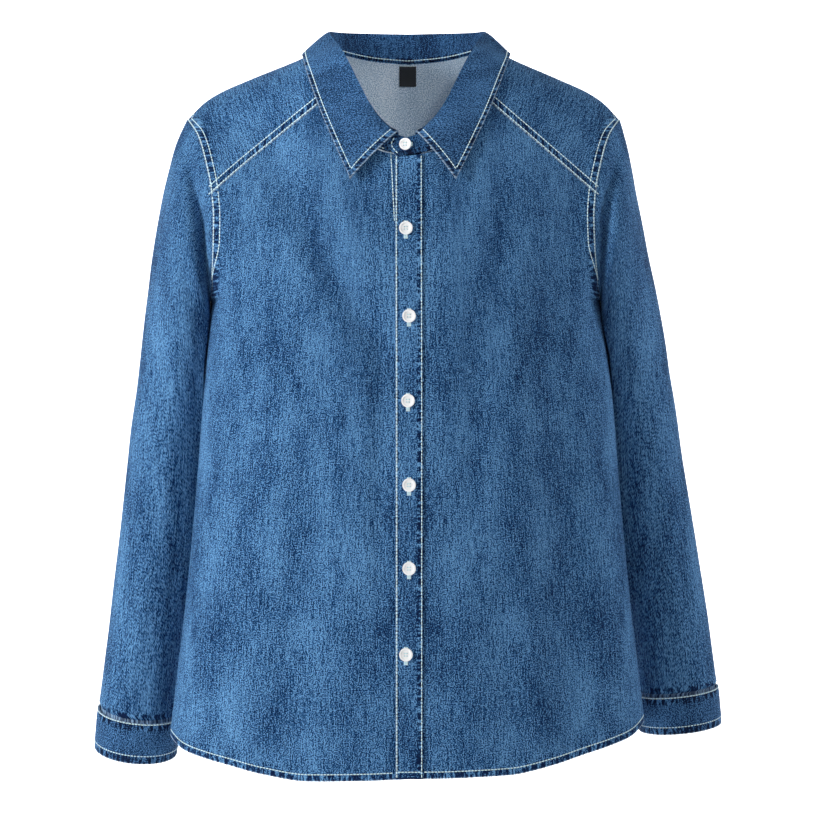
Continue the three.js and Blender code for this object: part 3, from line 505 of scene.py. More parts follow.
def denim(name, dark, middle, light, worn, streak=1.0, bump=0.5):
    """Washed twill of 3 indigo warps over 1 white weft. The weft shows as fine pale speckle between
    the warps, uneven warps as upright streaks 1.5 mm wide and 10 to 40 mm long, and the wash leaves
    cloudy fading and pale, rubbed seams. A thread is 0.5 mm, drawn here at about 1 mm to show."""
    made, tree = new_material(name)
    cloth = add_node(tree, "ShaderNodeUVMap", {"uv_map": "cloth"}).outputs["UV"]
    seam = add_node(tree, "ShaderNodeUVMap", {"uv_map": "seam"}).outputs["UV"]
    from_edge = add_node(tree, "ShaderNodeSeparateXYZ", links={"Vector": seam}).outputs["Y"]

    # Noises by width and length of their grains in millimetres, and how much each one tells
    grains = {}
    for grain, source, wide, long, detail, rough in (
            ("speck", cloth, *SPECK_MM, 1.0, 0.6), ("slub", cloth, *SLUB_MM, 2.0, 0.6),
            ("streak", cloth, *STREAK_MM, 1.0, 0.5), ("cloud", cloth, *CLOUD_MM, 3.0, 0.5),
            ("pucker", seam, *PUCKER_MM, 1.0, 0.5)):
        placed = add_node(tree, "ShaderNodeMapping", links={"Vector": source},
                          Location=(wide, long, 0), Scale=(1 / (wide * MM), 1 / (long * MM), 1))
        grains[grain] = add_node(tree, "ShaderNodeTexNoise", {"noise_dimensions": "2D"},
                                 {"Vector": placed.outputs["Vector"]},
                                 Scale=1.0, Detail=detail, Roughness=rough).outputs["Fac"]

    # Near a seam, between its two rows of stitches and on the very edge
    zones = {}
    for zone, outer, inner in (("near", 20, 4), ("band", BAND + 1, BAND - 0.5), ("rim", 2.0, 0.6)):
        zones[zone] = add_node(tree, "ShaderNodeMapRange", {"interpolation_type": "SMOOTHSTEP"},
                               {"Value": from_edge}, From_Min=outer * MM,
                               From_Max=inner * MM).outputs["Result"]

    # The puckers swing between dark and pale, most of all between the rows
    swing = add_node(tree, "ShaderNodeMath", {"operation": "MULTIPLY_ADD"},
                     {0: zones["band"], 2: zones["near"]}, i1=2.6).outputs[0]
    off_middle = add_node(tree, "ShaderNodeMath", {"operation": "SUBTRACT"},
                          {0: grains["pucker"]}, i1=0.5).outputs[0]
    swing = add_node(tree, "ShaderNodeMath", {"operation": "MULTIPLY"},
                     {0: swing, 1: off_middle}).outputs[0]
    tone = swing
    for grain, weight in (("speck", 3.4), ("slub", 1.4 * streak), ("streak", 0.9 * streak),
                          ("cloud", 1.0)):
        tone = add_node(tree, "ShaderNodeMath", {"operation": "MULTIPLY_ADD"},
                        {0: grains[grain], 2: tone}, i1=weight).outputs[0]
    tone = add_node(tree, "ShaderNodeMath", {"operation": "MULTIPLY_ADD"},
                    {0: zones["band"], 2: tone}, i1=-0.28).outputs[0]
    mean = (3.4 + 2.3 * streak + 1.0) / 2
    level = add_node(tree, "ShaderNodeMapRange", links={"Value": tone}, From_Min=mean - 0.44,
                     From_Max=mean + 0.44).outputs["Result"]
    colour = add_node(tree, "ShaderNodeValToRGB", links={"Fac": level})
    ramp(colour, [(0.0, dark), (0.5, middle), (1.0, light)])
    rubbed = add_node(tree, "ShaderNodeMath", {"operation": "MULTIPLY"},
                      {0: zones["rim"], 1: grains["pucker"]}).outputs[0]
    rubbed = add_node(tree, "ShaderNodeMapRange", links={"Value": rubbed}, From_Min=0.25,
                      From_Max=0.75, To_Max=0.9).outputs["Result"]
    edged = add_node(tree, "ShaderNodeMix", {"data_type": "RGBA"},
                     {0: rubbed, 6: colour.outputs["Color"]}, i7=worn)

    # The twill's ribs run at a slant, 1.4 mm apart
    turned = add_node(tree, "ShaderNodeMapping", links={"Vector": cloth},
                      Rotation=(0, 0, math.radians(62)))
    height = add_node(tree, "ShaderNodeTexWave", {"wave_profile": "SIN"},
                      {"Vector": turned.outputs["Vector"]}, Scale=math.tau / 20 / (1.4 * MM),
                      Distortion=0.6, Detail=1.0).outputs["Fac"]
    puckered = add_node(tree, "ShaderNodeMath", {"operation": "MULTIPLY"},
                        {0: zones["near"], 1: grains["pucker"]}).outputs[0]
    for part, weight in ((grains["slub"], 2.0), (grains["speck"], 3.0), (puckered, 9.0)):
        height = add_node(tree, "ShaderNodeMath", {"operation": "MULTIPLY_ADD"},
                          {0: part, 2: height}, i1=weight).outputs[0]
    relief = add_node(tree, "ShaderNodeBump", links={"Height": height},
                      Strength=bump, Distance=0.12 * MM)
    add_shader(tree, edged.outputs[2], relief.outputs["Normal"], Roughness=0.88,
               Specular_IOR_Level=0.15, Sheen_Weight=0.03, Sheen_Roughness=0.5,
               Sheen_Tint=linear("#9fb8d4"))
    return made


def add_shader(tree, colour, normal, **inputs):
    """The Principled surface at the end of a finish."""
    shader = add_node(tree, "ShaderNodeBsdfPrincipled",
                      links={"Base Color": colour, "Normal": normal}, **inputs)
    add_node(tree, "ShaderNodeOutputMaterial", links={"Surface": shader.outputs["BSDF"]})


def plain(name, colour, roughness, grain_mm, grain_depth, sheen=0.0, coat=0.0, tone=0.12):
    """A finish of one colour with a fine grain, in Object coordinates."""
    made, tree = new_material(name)
    place = add_node(tree, "ShaderNodeTexCoord").outputs["Object"]
    grain = add_node(tree, "ShaderNodeTexNoise", links={"Vector": place},
                     Scale=1 / (grain_mm * MM), Detail=2.0)
    tint = add_node(tree, "ShaderNodeValToRGB", links={"Fac": grain.outputs["Fac"]})
    ramp(tint, [(0.25, [c * (1 - tone) for c in colour]),
                (0.75, [min(c * (1 + tone), 1) for c in colour])])
    relief = add_node(tree, "ShaderNodeBump", links={"Height": grain.outputs["Fac"]},
                      Strength=0.4, Distance=grain_depth * MM)
    add_shader(tree, tint.outputs["Color"], relief.outputs["Normal"],
               Roughness=roughness, Sheen_Weight=sheen, Coat_Weight=coat)
    return made


FINISHES = {}


def finish_named(name):
    """Makes a finish the first time it is asked for."""
    if name not in FINISHES:
        c = bpy.context.scene.shirt_colours
        FINISHES[name] = {
            "denim": lambda: denim("washed indigo denim", c.dark, c.middle, c.light, c.worn),
            "inside": lambda: denim("wrong side of the denim", c.inside_dark, c.inside,
                                    c.inside_light, c.inside_light, streak=0.2, bump=0.3),
            "collar": lambda: denim("denim of the collar", c.collar_dark, c.collar,
                                    c.collar_light, c.worn, streak=0.55),
            # The stand's denim is made darker than the body's: painted shade for the shadow under
            # the collar's leaves.
            "stand": lambda: denim("stand denim darkened as painted shade", c.stand_shade_dark, c.stand,
                                   c.stand_shade_light, c.collar_light, streak=0.9),
            # Spun polyester thread, matt, with a slight fuzz
            "thread": lambda: plain("spun polyester thread", c.thread, 0.65, 0.6, 0.1, 0.2),
            # Polyester resin buttons, cast and tumbled, with a soft gloss
            "button": lambda: plain("cast polyester resin", c.button, 0.3, 3.0, 0.03, 0, 0.25, 0.03),
            # Satin-woven black label, bare
            "label": lambda: plain("black woven satin", c.label, 0.55, 0.5, 0.08, 0.3, 0, 0.3),
            # Seamless studio paper
            "paper": lambda: plain("studio paper", c.paper, 0.9, 2.0, 0.02, 0, 0, 0.01),
        }[name]()
    return FINISHES[name]


# Meshes

def deselect_all():
    for o in bpy.context.selected_objects:
        o.select_set(False)


def only(o):
    deselect_all()
    o.select_set(True)
    bpy.context.view_layer.objects.active = o


def in_edit_mode(o, work):
    only(o)
    bpy.ops.object.mode_set(mode="EDIT")
    bpy.ops.mesh.select_all(action="SELECT")
    work()
    bpy.ops.object.mode_set(mode="OBJECT")


def lengths_along(points, axis, start):
    """Length along rows or columns from one of them, in millimetres."""
    steps = np.linalg.norm(np.diff(points, axis=axis), axis=-1)
    total = np.cumsum(steps, axis=axis)
    total = np.insert(total, 0, 0, axis=axis)
    return total - np.take(total, [start], axis=axis)


def cloth_sheet(name, points, wall, outward, seams, finishes=("denim", "inside"), start=(0, 0),
                around=False, patch=None):
    """Cloth from a grid of points, given its wall by Solidify.
    seams is (along, across): millimetres along the nearest seam, and from it.
    patch is (finish, rows): another finish for the grid's first rows."""
    rows, columns = points.shape[0] - 1, points.shape[1] - 1
    deselect_all()
    bpy.ops.mesh.primitive_grid_add(x_subdivisions=columns, y_subdivisions=rows, size=1)
    sheet = bpy.context.object
    sheet.name = name
    mesh = sheet.data
    mesh.vertices.foreach_set("co", (points * MM).ravel())
    mesh.update()
    while mesh.uv_layers:
        mesh.uv_layers.remove(mesh.uv_layers[0])
    corner = np.empty(len(mesh.loops), np.int32)
    mesh.loops.foreach_get("vertex_index", corner)
    across, along = lengths_along(points, 1, start[1]), lengths_along(points, 0, start[0])
    for layer, (u, v) in (("cloth", (across, along)), ("seam", seams)):
        uv = np.stack(np.broadcast_arrays(u, v, points[..., 0])[:2], axis=-1).reshape(-1, 2) * MM
        mesh.uv_layers.new(name=layer).data.foreach_set("uv", uv[corner].ravel())
    if around:
        in_edit_mode(sheet, lambda: bpy.ops.mesh.remove_doubles(threshold=0.01 * MM))
    normals = np.empty(len(mesh.polygons) * 3)
    mesh.polygons.foreach_get("normal", normals)
    centres = np.empty(len(mesh.polygons) * 3)
    mesh.polygons.foreach_get("center", centres)
    ways = outward(centres.reshape(-1, 3) / MM)
    if (normals.reshape(-1, 3) * ways).sum() < 0:
        in_edit_mode(sheet, bpy.ops.mesh.flip_normals)
    for finish in finishes:
        mesh.materials.append(finish_named(finish))
    if patch:
        mesh.materials.append(finish_named(patch[0]))
        indices = np.zeros(len(mesh.polygons), np.int32)
        indices[:patch[1] * columns] = len(finishes)
        mesh.polygons.foreach_set("material_index", indices)
    only(sheet)
    thick = sheet.modifiers.new("wall", "SOLIDIFY")
    thick.thickness = wall * MM
    thick.offset = -1
    thick.use_even_offset = False
    thick.material_offset = len(finishes) - 1
    bpy.ops.object.modifier_apply(modifier="wall")
    bpy.ops.object.shade_smooth_by_angle(angle=math.radians(50))
    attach(sheet, ROOT)
    return sheet


def from_axis(p):
    """Away from the upright middle of the body."""
    return np.stack([p[:, 0], p[:, 1], 0 * p[:, 2]], axis=-1)


def nearest_seam(*seams):
    """Of several (along, across) pairs, the one whose seam is nearest at each point."""
    along = np.stack(np.broadcast_arrays(*(s[0] for s in seams)))
    across = np.stack(np.broadcast_arrays(*(s[1] for s in seams)))
    along, across = np.broadcast_arrays(along, across)
    pick = np.argmin(across, axis=0)[None]
    return np.take_along_axis(along, pick, 0)[0], np.take_along_axis(across, pick, 0)[0]


def evenly(points, normals, spacing):
    """Points and normals at even spacing along a line."""
    run = np.concatenate([[0], np.cumsum(np.linalg.norm(np.diff(points, axis=0), axis=1))])
    count = max(int(run[-1] / spacing), 1)
    places = (np.arange(count) + 0.5) * run[-1] / count

    def at(values):
        return np.stack([np.interp(places, run, values[:, i]) for i in range(3)], axis=-1)
    middle, normal = at(points), at(normals)
    ahead = np.gradient(middle, axis=0) if count > 1 else points[-1:] - points[:1]
    ahead /= np.linalg.norm(ahead, axis=1, keepdims=True)
    normal -= ahead * (normal * ahead).sum(1, keepdims=True)
    normal /= np.linalg.norm(normal, axis=1, keepdims=True)
    return middle, normal, ahead


def thread_mesh(name, lines, length=None, width=None, spacing=None):
    """Stitches along several lines of (points, normals), one bead copied to each place."""
    sizes = bpy.context.scene.shirt_sizes
    length = length or sizes.stitch_length / MM
    width = width or sizes.thread_width / MM
    spacing = spacing or sizes.stitch_spacing / MM
    deselect_all()
    bpy.ops.mesh.primitive_uv_sphere_add(segments=6, ring_count=5, radius=0.5)
    thread = bpy.context.object
    thread.name = name
    mesh = thread.data
    bead = np.array([v.co for v in mesh.vertices])
    faces = [list(p.vertices) for p in mesh.polygons]
    bead[:, 2] = np.sign(bead[:, 2]) * np.abs(bead[:, 2] * 2) ** 0.6 / 2
    places, normals, aheads = (np.concatenate(part) for part in zip(
        *(evenly(points, n, spacing) for points, n in lines)))
    sides = np.cross(aheads, normals)
    co = (places[:, None] + aheads[:, None] * (bead[None, :, 2:] * length)
          + sides[:, None] * (bead[None, :, :1] * width)
          + normals[:, None] * (bead[None, :, 1:2] * width * 0.8 + 0.12))
    count, each = len(places), len(bead)
    all_faces = [[i + k * each for i in face] for k in range(count) for face in faces]
    mesh.clear_geometry()
    mesh.from_pydata((co.reshape(-1, 3) * MM).tolist(), [], all_faces)
    mesh.materials.append(finish_named("thread"))
    only(thread)
    bpy.ops.object.shade_smooth()
    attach(thread, ROOT)
    return thread


def declare(node):
    """Hides the CAD node that a finished sheet stands for."""
    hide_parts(node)


# Body panels

def front_x(z, turn, edge):
    """Across a front from its edge to the side, closer together where the body turns away."""
    return lerp(edge, half_width(z), np.sin(math.pi / 2 * turn))


def front_top(x):
    neck = np.where(x < NECK_SIDE_X, neck_front(x), 1e3)
    return np.minimum(neck - 0.5, seam_z(x) + UNDER_YOKE)


def front_sheet(side, edge, columns, rows):
    """Points and seams of one front. It runs on a little way under the yoke."""
    turn = np.linspace(0, 1, columns + 1)
    top = root(-420, 20, lambda z: z - front_top(front_x(z, turn, edge)), turn.shape)
    bottom = np.full(turn.shape, -700.0)
    for _ in range(8):
        x = np.maximum(front_x(bottom, turn, edge), 0)
        bottom = hem[FRONT](x / half_width(bottom)) + HEM_TILT * side * x
    v = np.linspace(0, 1, rows + 1)[:, None]
    z = lerp(bottom, top, v)
    x = front_x(z, turn, edge)
    under_yoke = ease((z - seam_z(x)) / 2 + 1) * ease((x - 30) / 20)
    turned = ease((bottom + HEM_TURN - z) / 1.5)
    lift = -1.7 * under_yoke + 0.5 * turned
    if side == RIGHT:
        # It sinks beside the placket that laps over it
        lift = lift - 1.6 * np.exp(-(((x + PLACKET_LEFT - 1) / 3.5) ** 2))
    points = body_point(FRONT, side * x, z, lift)
    side_on = np.abs(turn - 1) < 1e-9
    low = z < ARMPIT_Z
    points[..., 1] = np.where(side_on & low, 0, points[..., 1])
    slope = math.hypot(1, YOKE_SLOPE)
    seams = nearest_seam(
        (x * slope, np.abs(seam_z(x) - z) / slope + BAND),
        (z, (half_width(z) - x) + np.where(low, 12, 0)),
        (x, np.maximum(z - bottom, 0) * np.ones_like(x)),
    )
    return points, seams


# Stage

def look_from(place, towards):
    """Rotation of a light or camera that looks from one place towards another."""
    way = [t - p for p, t in zip(place, towards)]
    return Vector(way).to_track_quat("-Z", "Y").to_euler()


NECK_AIM = (-0.10, 0.08, -0.03)


def area_light(name, place, towards, size, energy, colour):
    deselect_all()
    bpy.ops.object.light_add(type="AREA", location=place, rotation=look_from(place, towards))
    lamp = bpy.context.object
    lamp.name = name
    lamp.data.shape = "DISK"
    lamp.data.size = size
    lamp.data.energy = energy
    lamp.data.color = linear(colour)[:3]


def make_stage():
    """Pale paper floor that curves up far behind, three soft lamps and the camera."""
    deselect_all()
    bpy.ops.mesh.primitive_grid_add(x_subdivisions=8, y_subdivisions=40, size=1)
    floor = bpy.context.object
    floor.name = "paper_floor"
    floor_z, front_y, back_y, curve_r, top = -1.25, -4.5, 3.2, 1.2, 4.0
    flat = back_y - curve_r - front_y
    bend = math.pi / 2 * curve_r
    whole = flat + bend + top
    for v in floor.data.vertices:
        run = (v.co.y + 0.5) * whole
        x = v.co.x * 12
        if run < flat:
            v.co = (x, front_y + run, floor_z)
        elif run < flat + bend:
            a = (run - flat) / curve_r
            v.co = (x, back_y - curve_r + curve_r * math.sin(a),
                    floor_z + curve_r * (1 - math.cos(a)))
        else:
            v.co = (x, back_y, floor_z + curve_r + run - flat - bend)
    floor.data.materials.append(finish_named("paper"))
    only(floor)
    bpy.ops.object.shade_smooth()

    # The key comes from the upper left, so that the right side falls into shade
    chest = (0, 0, -0.35)
    area_light("key", (-2.4, -1.5, 0.35), chest, 1.0, 74, "#ffffff")
    area_light("fill", (-0.6, -3.4, 0.3), chest, 2.4, 9, "#eef4ff")
    area_light("top", (0.7, -0.6, 1.1), (0.12, 0, -0.1), 0.5, 4, "#ffffff")
    area_light("rim", (2.1, 0.1, 0.1), chest, 1.0, 16, "#f4f8ff")
    area_light("paper_lamp", (0, 0.9, 0.9), (0, 3.2, -0.3), 2.0, 150, "#ffffff")
    # A narrow soft spot shines in at the neck
    place = (0.55, -2.2, 0.6)
    deselect_all()
    bpy.ops.object.light_add(type="SPOT", location=place, rotation=look_from(place, NECK_AIM))
    spot = bpy.context.object
    spot.name = "neck_spot"
    spot.data.energy = 120
    spot.data.spot_size, spot.data.spot_blend = math.radians(6.5), 1.0
    spot.data.shadow_soft_size = 0.08

    world = bpy.data.worlds.new("studio")
    bpy.context.scene.world = world
    world.use_nodes = True
    sky = world.node_tree.nodes["Background"]
    sky.inputs["Color"].default_value = linear("#ffffff")
    sky.inputs["Strength"].default_value = 0.13

    # The picture is square, and 1 mm at the middle of the body is one of its 816 pixels
    away, sensor, picture = 3.0, 36.0, 0.816
    deselect_all()
    bpy.ops.object.camera_add(location=(0, -away, -0.348), rotation=(math.pi / 2, 0, 0))
    camera = bpy.context.object
    camera.name = "camera"
    camera.data.sensor_width = sensor
    camera.data.lens = sensor * away / picture
    bpy.context.scene.camera = camera
    bpy.context.scene.view_settings.view_transform = "Standard"


# Stitched lines

def body_line(facing, x, z, lift=0.0):
    """Points and normals along a line on the body."""
    x, z = np.broadcast_arrays(np.asarray(x, float), np.asarray(z, float))

    def surface(a, b):
        return body_point(facing, a, b, lift)
    points = surface(x, z)
    out = np.stack([points[:, 0], points[:, 1], 0 * z], axis=-1)
    return points, outward_normals(surface, x, z, 0.7, 0.7, out)


def armhole_line(facing, side, inset, low=ARMPIT_Z + 3):
    """A row of stitches beside the armhole, from the underarm up to the shoulder ridge."""
    top_x = BODY["half"][RIDGE_ROWS - 1] - 0.75 * inset
    top = float(ridge_z(np.array([top_x]))[0])
    z = lerp(low, top, np.linspace(0, 1, 160) ** 0.9)
    reach = np.clip((top - z) / (top - SHOULDER_Z + 12), 0, 1) ** 0.5
    if facing == FRONT:
        reach = reach * ease((z - low + 4) / 42)
    points, normals = body_line(facing, side * (half_width(z) - inset * reach), z)
    return points, normals


def hem_line(facing, up, low=-1, high=1):
    share = np.linspace(low, high, 260)
    x = share * 236.0
    for _ in range(4):
        z = hem[facing](np.abs(share)) + HEM_TILT * x
        x = share * half_width(z)
    return body_line(facing, x, z + up, 0.5)


def seam_line(side, up, low, high):
    x = np.linspace(low, high, 90)
    z = seam_z(x) + up * math.hypot(1, YOKE_SLOPE)
    return body_line(FRONT, side * x, z)


# Operators

class ShirtSizes(bpy.types.PropertyGroup):
    """Sizes of the cloth and its stitches."""
    cloth: bpy.props.FloatProperty(
        name="Cloth", description="Thickness of one layer of denim",
        default=CLOTH * MM, min=0.0005, max=0.003, unit="LENGTH", precision=4)
    collar: bpy.props.FloatProperty(
        name="Collar", description="Thickness of the collar's two pressed layers",
        default=DOUBLE * MM, min=0.001, max=0.004, unit="LENGTH", precision=4)
    stitch_length: bpy.props.FloatProperty(
        name="Stitch length", description="Length of the thread that shows between two holes",
        default=2.9 * MM, min=0.001, max=0.006, unit="LENGTH", precision=4)
    stitch_spacing: bpy.props.FloatProperty(
        name="Stitch spacing", description="From one needle hole to the next",
        default=3.2 * MM, min=0.001, max=0.008, unit="LENGTH", precision=4)
    thread_width: bpy.props.FloatProperty(
        name="Thread width", description="Width of the topstitching thread",
        default=1.15 * MM, min=0.0002, max=0.002, unit="LENGTH", precision=4)


def colour_choice(name, description, code):
    """A colour that a user may change, linear as Blender keeps it."""
    return bpy.props.FloatVectorProperty(name=name, description=description, subtype="COLOR",
                                         size=4, min=0, max=1, default=linear(code))


class ShirtColours(bpy.types.PropertyGroup):
    """Colours of the cloth, thread, buttons, label and floor."""
    dark: colour_choice("Indigo, dark", "Warps that kept their dye", "#031b40")
    middle: colour_choice("Indigo", "The body's denim", "#1b5084")
    light: colour_choice("Indigo, washed", "Washed warps and the weft", "#6a9dcb")
    worn: colour_choice("Rubbed edge", "Edges and puckers rubbed pale", "#b4cde4")
    collar_dark: colour_choice("Collar, dark", "Warps of the collar that kept their dye", "#031634")
    collar: colour_choice("Collar", "The collar's denim", "#163f6c")
    collar_light: colour_choice("Collar, washed", "Washed warps of the collar", "#5686b6")
    # The stand's colours are darker than the body's, as painted shade under the collar's leaves.
    stand_shade_dark: colour_choice("Stand, dark", "Warps of the stand, darkened as painted shade", "#05142f")
    stand: colour_choice("Stand", "The stand's denim, darkened as painted shade", "#153a65")
    stand_shade_light: colour_choice("Stand, washed", "Washed warps of the stand", "#42709f")
    inside_dark: colour_choice("Wrong side, dark", "Warp that shows on the wrong side", "#94b0c8")
    inside: colour_choice("Wrong side", "Weft side of the denim", "#cbdff2")
    inside_light: colour_choice("Wrong side, pale", "Weft that stands out", "#f2f9ff")
    thread: colour_choice("Thread", "Topstitching", "#d9f5ff")
    button: colour_choice("Buttons", "Resin buttons", "#fcfdfd")
    label: colour_choice("Label", "Neck label", "#17191d")
    paper: colour_choice("Floor", "Studio paper", "#f7f7f7")


class SHIRT_OT_stage(bpy.types.Operator):
    """Add the paper floor, the soft lamps and the camera"""
    bl_idname = "shirt.stage"
    bl_label = "Stage"

    def execute(self, context):
        make_stage()
        return {"FINISHED"}


class SHIRT_OT_fronts(bpy.types.Operator):
    """Add the two fronts with the rows along armholes, hem and button band"""
    bl_idname = "shirt.fronts"
    bl_label = "Fronts"

    def execute(self, context):
        wall = context.scene.shirt_sizes.cloth / MM
        under = -(CLOTH + 2.2 * SEAM)

        # Right front: its button band runs on under the placket, one layer further in
        points, seams = front_sheet(RIGHT, 11.0, 72, 175)
        strip = np.linspace(PLACKET_RIGHT - 2, -11.0, 9)[None, :]
        z = points[:, :1, 2]
        drop = np.where(strip < -9, 0.0, under - HEM_EXTRA)
        band = body_point(FRONT, strip, np.broadcast_to(z, (len(z), 9)), drop)
        points = np.concatenate([band[:, :-1], points], axis=1)
        beside = np.broadcast_to(np.abs(strip + 14.5)[:, :-1] * 0 + 15, (len(z), 8))
        seams = (np.concatenate([np.broadcast_to(z, beside.shape), seams[0]], axis=1),
                 np.concatenate([beside, seams[1]], axis=1))
        right = cloth_sheet("right_front", points, wall, from_axis, seams)
        down = np.linspace(0, 1, 60)
        lines = [armhole_line(FRONT, RIGHT, d, ROWS_MEET) for d in (EDGE_STITCH, BAND + 0.5)]
        lines = [clip_line(line, high=seam_z(abs(line[0][:, 0]))) for line in lines]
        lines += [hem_line(FRONT, HEM_TURN - 1.2, -0.995, -0.06),
                  body_line(FRONT, lerp(-16.2, -12.6, down), lerp(-100, -168, down))]
        threads = thread_mesh("right_front_thread", lines)
        declare("front_right")

        points, seams = front_sheet(LEFT, PLACKET_LEFT + SEAM, 76, 175)
        left = cloth_sheet("left_front", points, wall, from_axis, seams)
        lines = [armhole_line(FRONT, LEFT, d, ROWS_MEET) for d in (EDGE_STITCH, BAND + 0.5)]
        lines = [clip_line(line, high=seam_z(abs(line[0][:, 0]))) for line in lines]
        lines += [hem_line(FRONT, HEM_TURN - 1.2, 0.065, 0.995)]
        threads = thread_mesh("left_front_thread", lines)
        declare("front_left")
        return {"FINISHED"}


def clip_line(line, low=-1e4, high=1e4):
    """The stretch of a line between two heights."""
    points, normals = line
    keep = (points[:, 2] > low) & (points[:, 2] < high)
    return points[keep], normals[keep]


class SHIRT_OT_placket(bpy.types.Operator):
    """Add the placket with a row of stitches along each edge"""
    bl_idname = "shirt.placket"
    bl_label = "Placket"

    def execute(self, context):
        x = np.linspace(PLACKET_LEFT, PLACKET_RIGHT, 14)[None, :]
        top = neck_front(np.abs(x)) - 0.6
        bottom = hem[FRONT](np.abs(x) / 240) + HEM_TILT * x
        z = lerp(bottom, top, np.linspace(0, 1, 301)[:, None])
        points = body_point(FRONT, x, z, CLOTH + SEAM)
        edge = np.minimum(x - PLACKET_LEFT, PLACKET_RIGHT - x)
        # The band between the two rows bulges a little, and its edges pucker
        wave = np.sin(z / 7.3 * math.tau) + 0.6 * np.sin(z / 11.9 * math.tau + 1.0 + x * 0.1)
        points[..., 1] -= 0.35 * ease(edge / 4) + 0.10 * wave * ease(1 - edge / 6)
        # Its left edge is rubbed pale, and the layers turned in along its right edge pucker
        worn_edge = np.minimum(0.7 * (x - PLACKET_LEFT) ** 2, 1.2 + 1.1 * (PLACKET_RIGHT - x))
        seams = (np.broadcast_to(z, points.shape[:2]), np.minimum(worn_edge, z - bottom))
        sheet = cloth_sheet("placket_band", points, context.scene.shirt_sizes.cloth / MM,
                            from_axis, seams)
        lines = []
        for at in (PLACKET_LEFT + EDGE_STITCH, PLACKET_RIGHT - EDGE_STITCH):
            z = np.linspace(hem[FRONT](0) + 1.5, neck_front(abs(at)) - 2, 300)
            lines.append(body_line(FRONT, np.full(300, at), z, CLOTH + SEAM + 0.15))
        z = hem[FRONT](0) + HEM_TURN - 1
        lines.append(body_line(FRONT, np.linspace(PLACKET_LEFT + 2, PLACKET_RIGHT - 2, 20), z,
                               CLOTH + SEAM + 0.35))
        threads = thread_mesh("placket_thread", lines)
        declare("placket")
        return {"FINISHED"}


class SHIRT_OT_back(bpy.types.Operator):
    """Add the back with its hem and the rows beside its side seams"""
    bl_idname = "shirt.back"
    bl_label = "Back"

    def execute(self, context):
        rows, columns = 175, 120
        turn = np.linspace(-1, 1, columns + 1)
        share = np.sin(math.pi / 2 * turn)
        top = np.full(share.shape, YOKE_BACK_Z + UNDER_YOKE)
        bottom = np.full(share.shape, -700.0)
        for _ in range(8):
            bottom = hem[BACK](np.abs(share)) + HEM_TILT * share * half_width(bottom)
        z = lerp(bottom, top, np.linspace(0, 1, rows + 1)[:, None])
        x = share * half_width(z)
        under_yoke = ease((z - YOKE_BACK_Z) / 2 + 1)
        turned = ease((bottom + HEM_TURN - z) / 1.5)
        points = body_point(BACK, x, z, -1.7 * under_yoke + 0.5 * turned)
        low = z < ARMPIT_Z
        sides = np.abs(np.abs(share) - 1) < 1e-9
        points[..., 1] = np.where(sides & low, 0, points[..., 1])
        seams = nearest_seam(
            (x, np.abs(z - YOKE_BACK_Z) + BAND + 0 * x),
            (z + 0 * x, half_width(z) - np.abs(x)),
            (x, np.maximum(z - bottom, 0) + 0 * x),
        )
        sheet = cloth_sheet("back_panel", points, context.scene.shirt_sizes.cloth / MM,
                            from_axis, seams, start=(0, columns // 2))
        lines = [hem_line(BACK, HEM_TURN - 1.2, -0.995, 0.995)]
        for side in (RIGHT, LEFT):
            for inset in (EDGE_STITCH, BAND + 0.5):
                lines.append(clip_line(armhole_line(BACK, side, inset), high=YOKE_BACK_Z))
                z = np.linspace(-660, ARMPIT_Z + 3, 200)
                lines.append(body_line(BACK, side * (half_width(z) - inset), z))
        threads = thread_mesh("back_thread", lines)
        declare("back")
        return {"FINISHED"}


def yoke_front_sheet(side, columns, rows):
    """One shoulder of the yoke in front, from its slanting seam up to the ridge."""
    u = np.linspace(0, 1, columns + 1)[None, :]
    rise = (1 - (1 - np.linspace(0, 1, rows + 1)) ** 2)[:, None]
    inner = float(root(60, NECK_SIDE_X, lambda x: neck_front(x) - seam_z(x)))
    outer_z = float(root(-420, 20, lambda z: z - seam_z(half_width(z))))
    outer = float(half_width(np.array(outer_z)))
    shoulder = BODY["half"][RIDGE_ROWS - 1]
    ridge_x = lerp(NECK_SIDE_X, shoulder, u)
    seam_x = lerp(inner, outer, u)
    z = lerp(seam_z(seam_x), ridge_z(ridge_x), rise)
    armhole_x = half_width(lerp(seam_z(outer), ridge_z(np.array([shoulder]))[0], rise))
    neck_x = neck_front_x(lerp(seam_z(inner), ridge_z(np.array([NECK_SIDE_X]))[0], rise))
    to_armhole = u**3 * (armhole_x - lerp(outer, shoulder, rise))
    to_neck = (1 - u) ** 3 * (neck_x - lerp(inner, NECK_SIDE_X, rise))
    x = lerp(seam_x, ridge_x, rise) + to_armhole + to_neck
    x[-1] = ridge_x
    points = body_point(FRONT, side * x, z)
    points[-1, :, 1] = 0
    slope = math.hypot(1, YOKE_SLOPE)
    seams = nearest_seam(
        (x * slope, np.maximum(z - seam_z(x), 0) / slope),
        (z, np.maximum(x[:, -1:] - x, 0)),
    )
    return points, seams


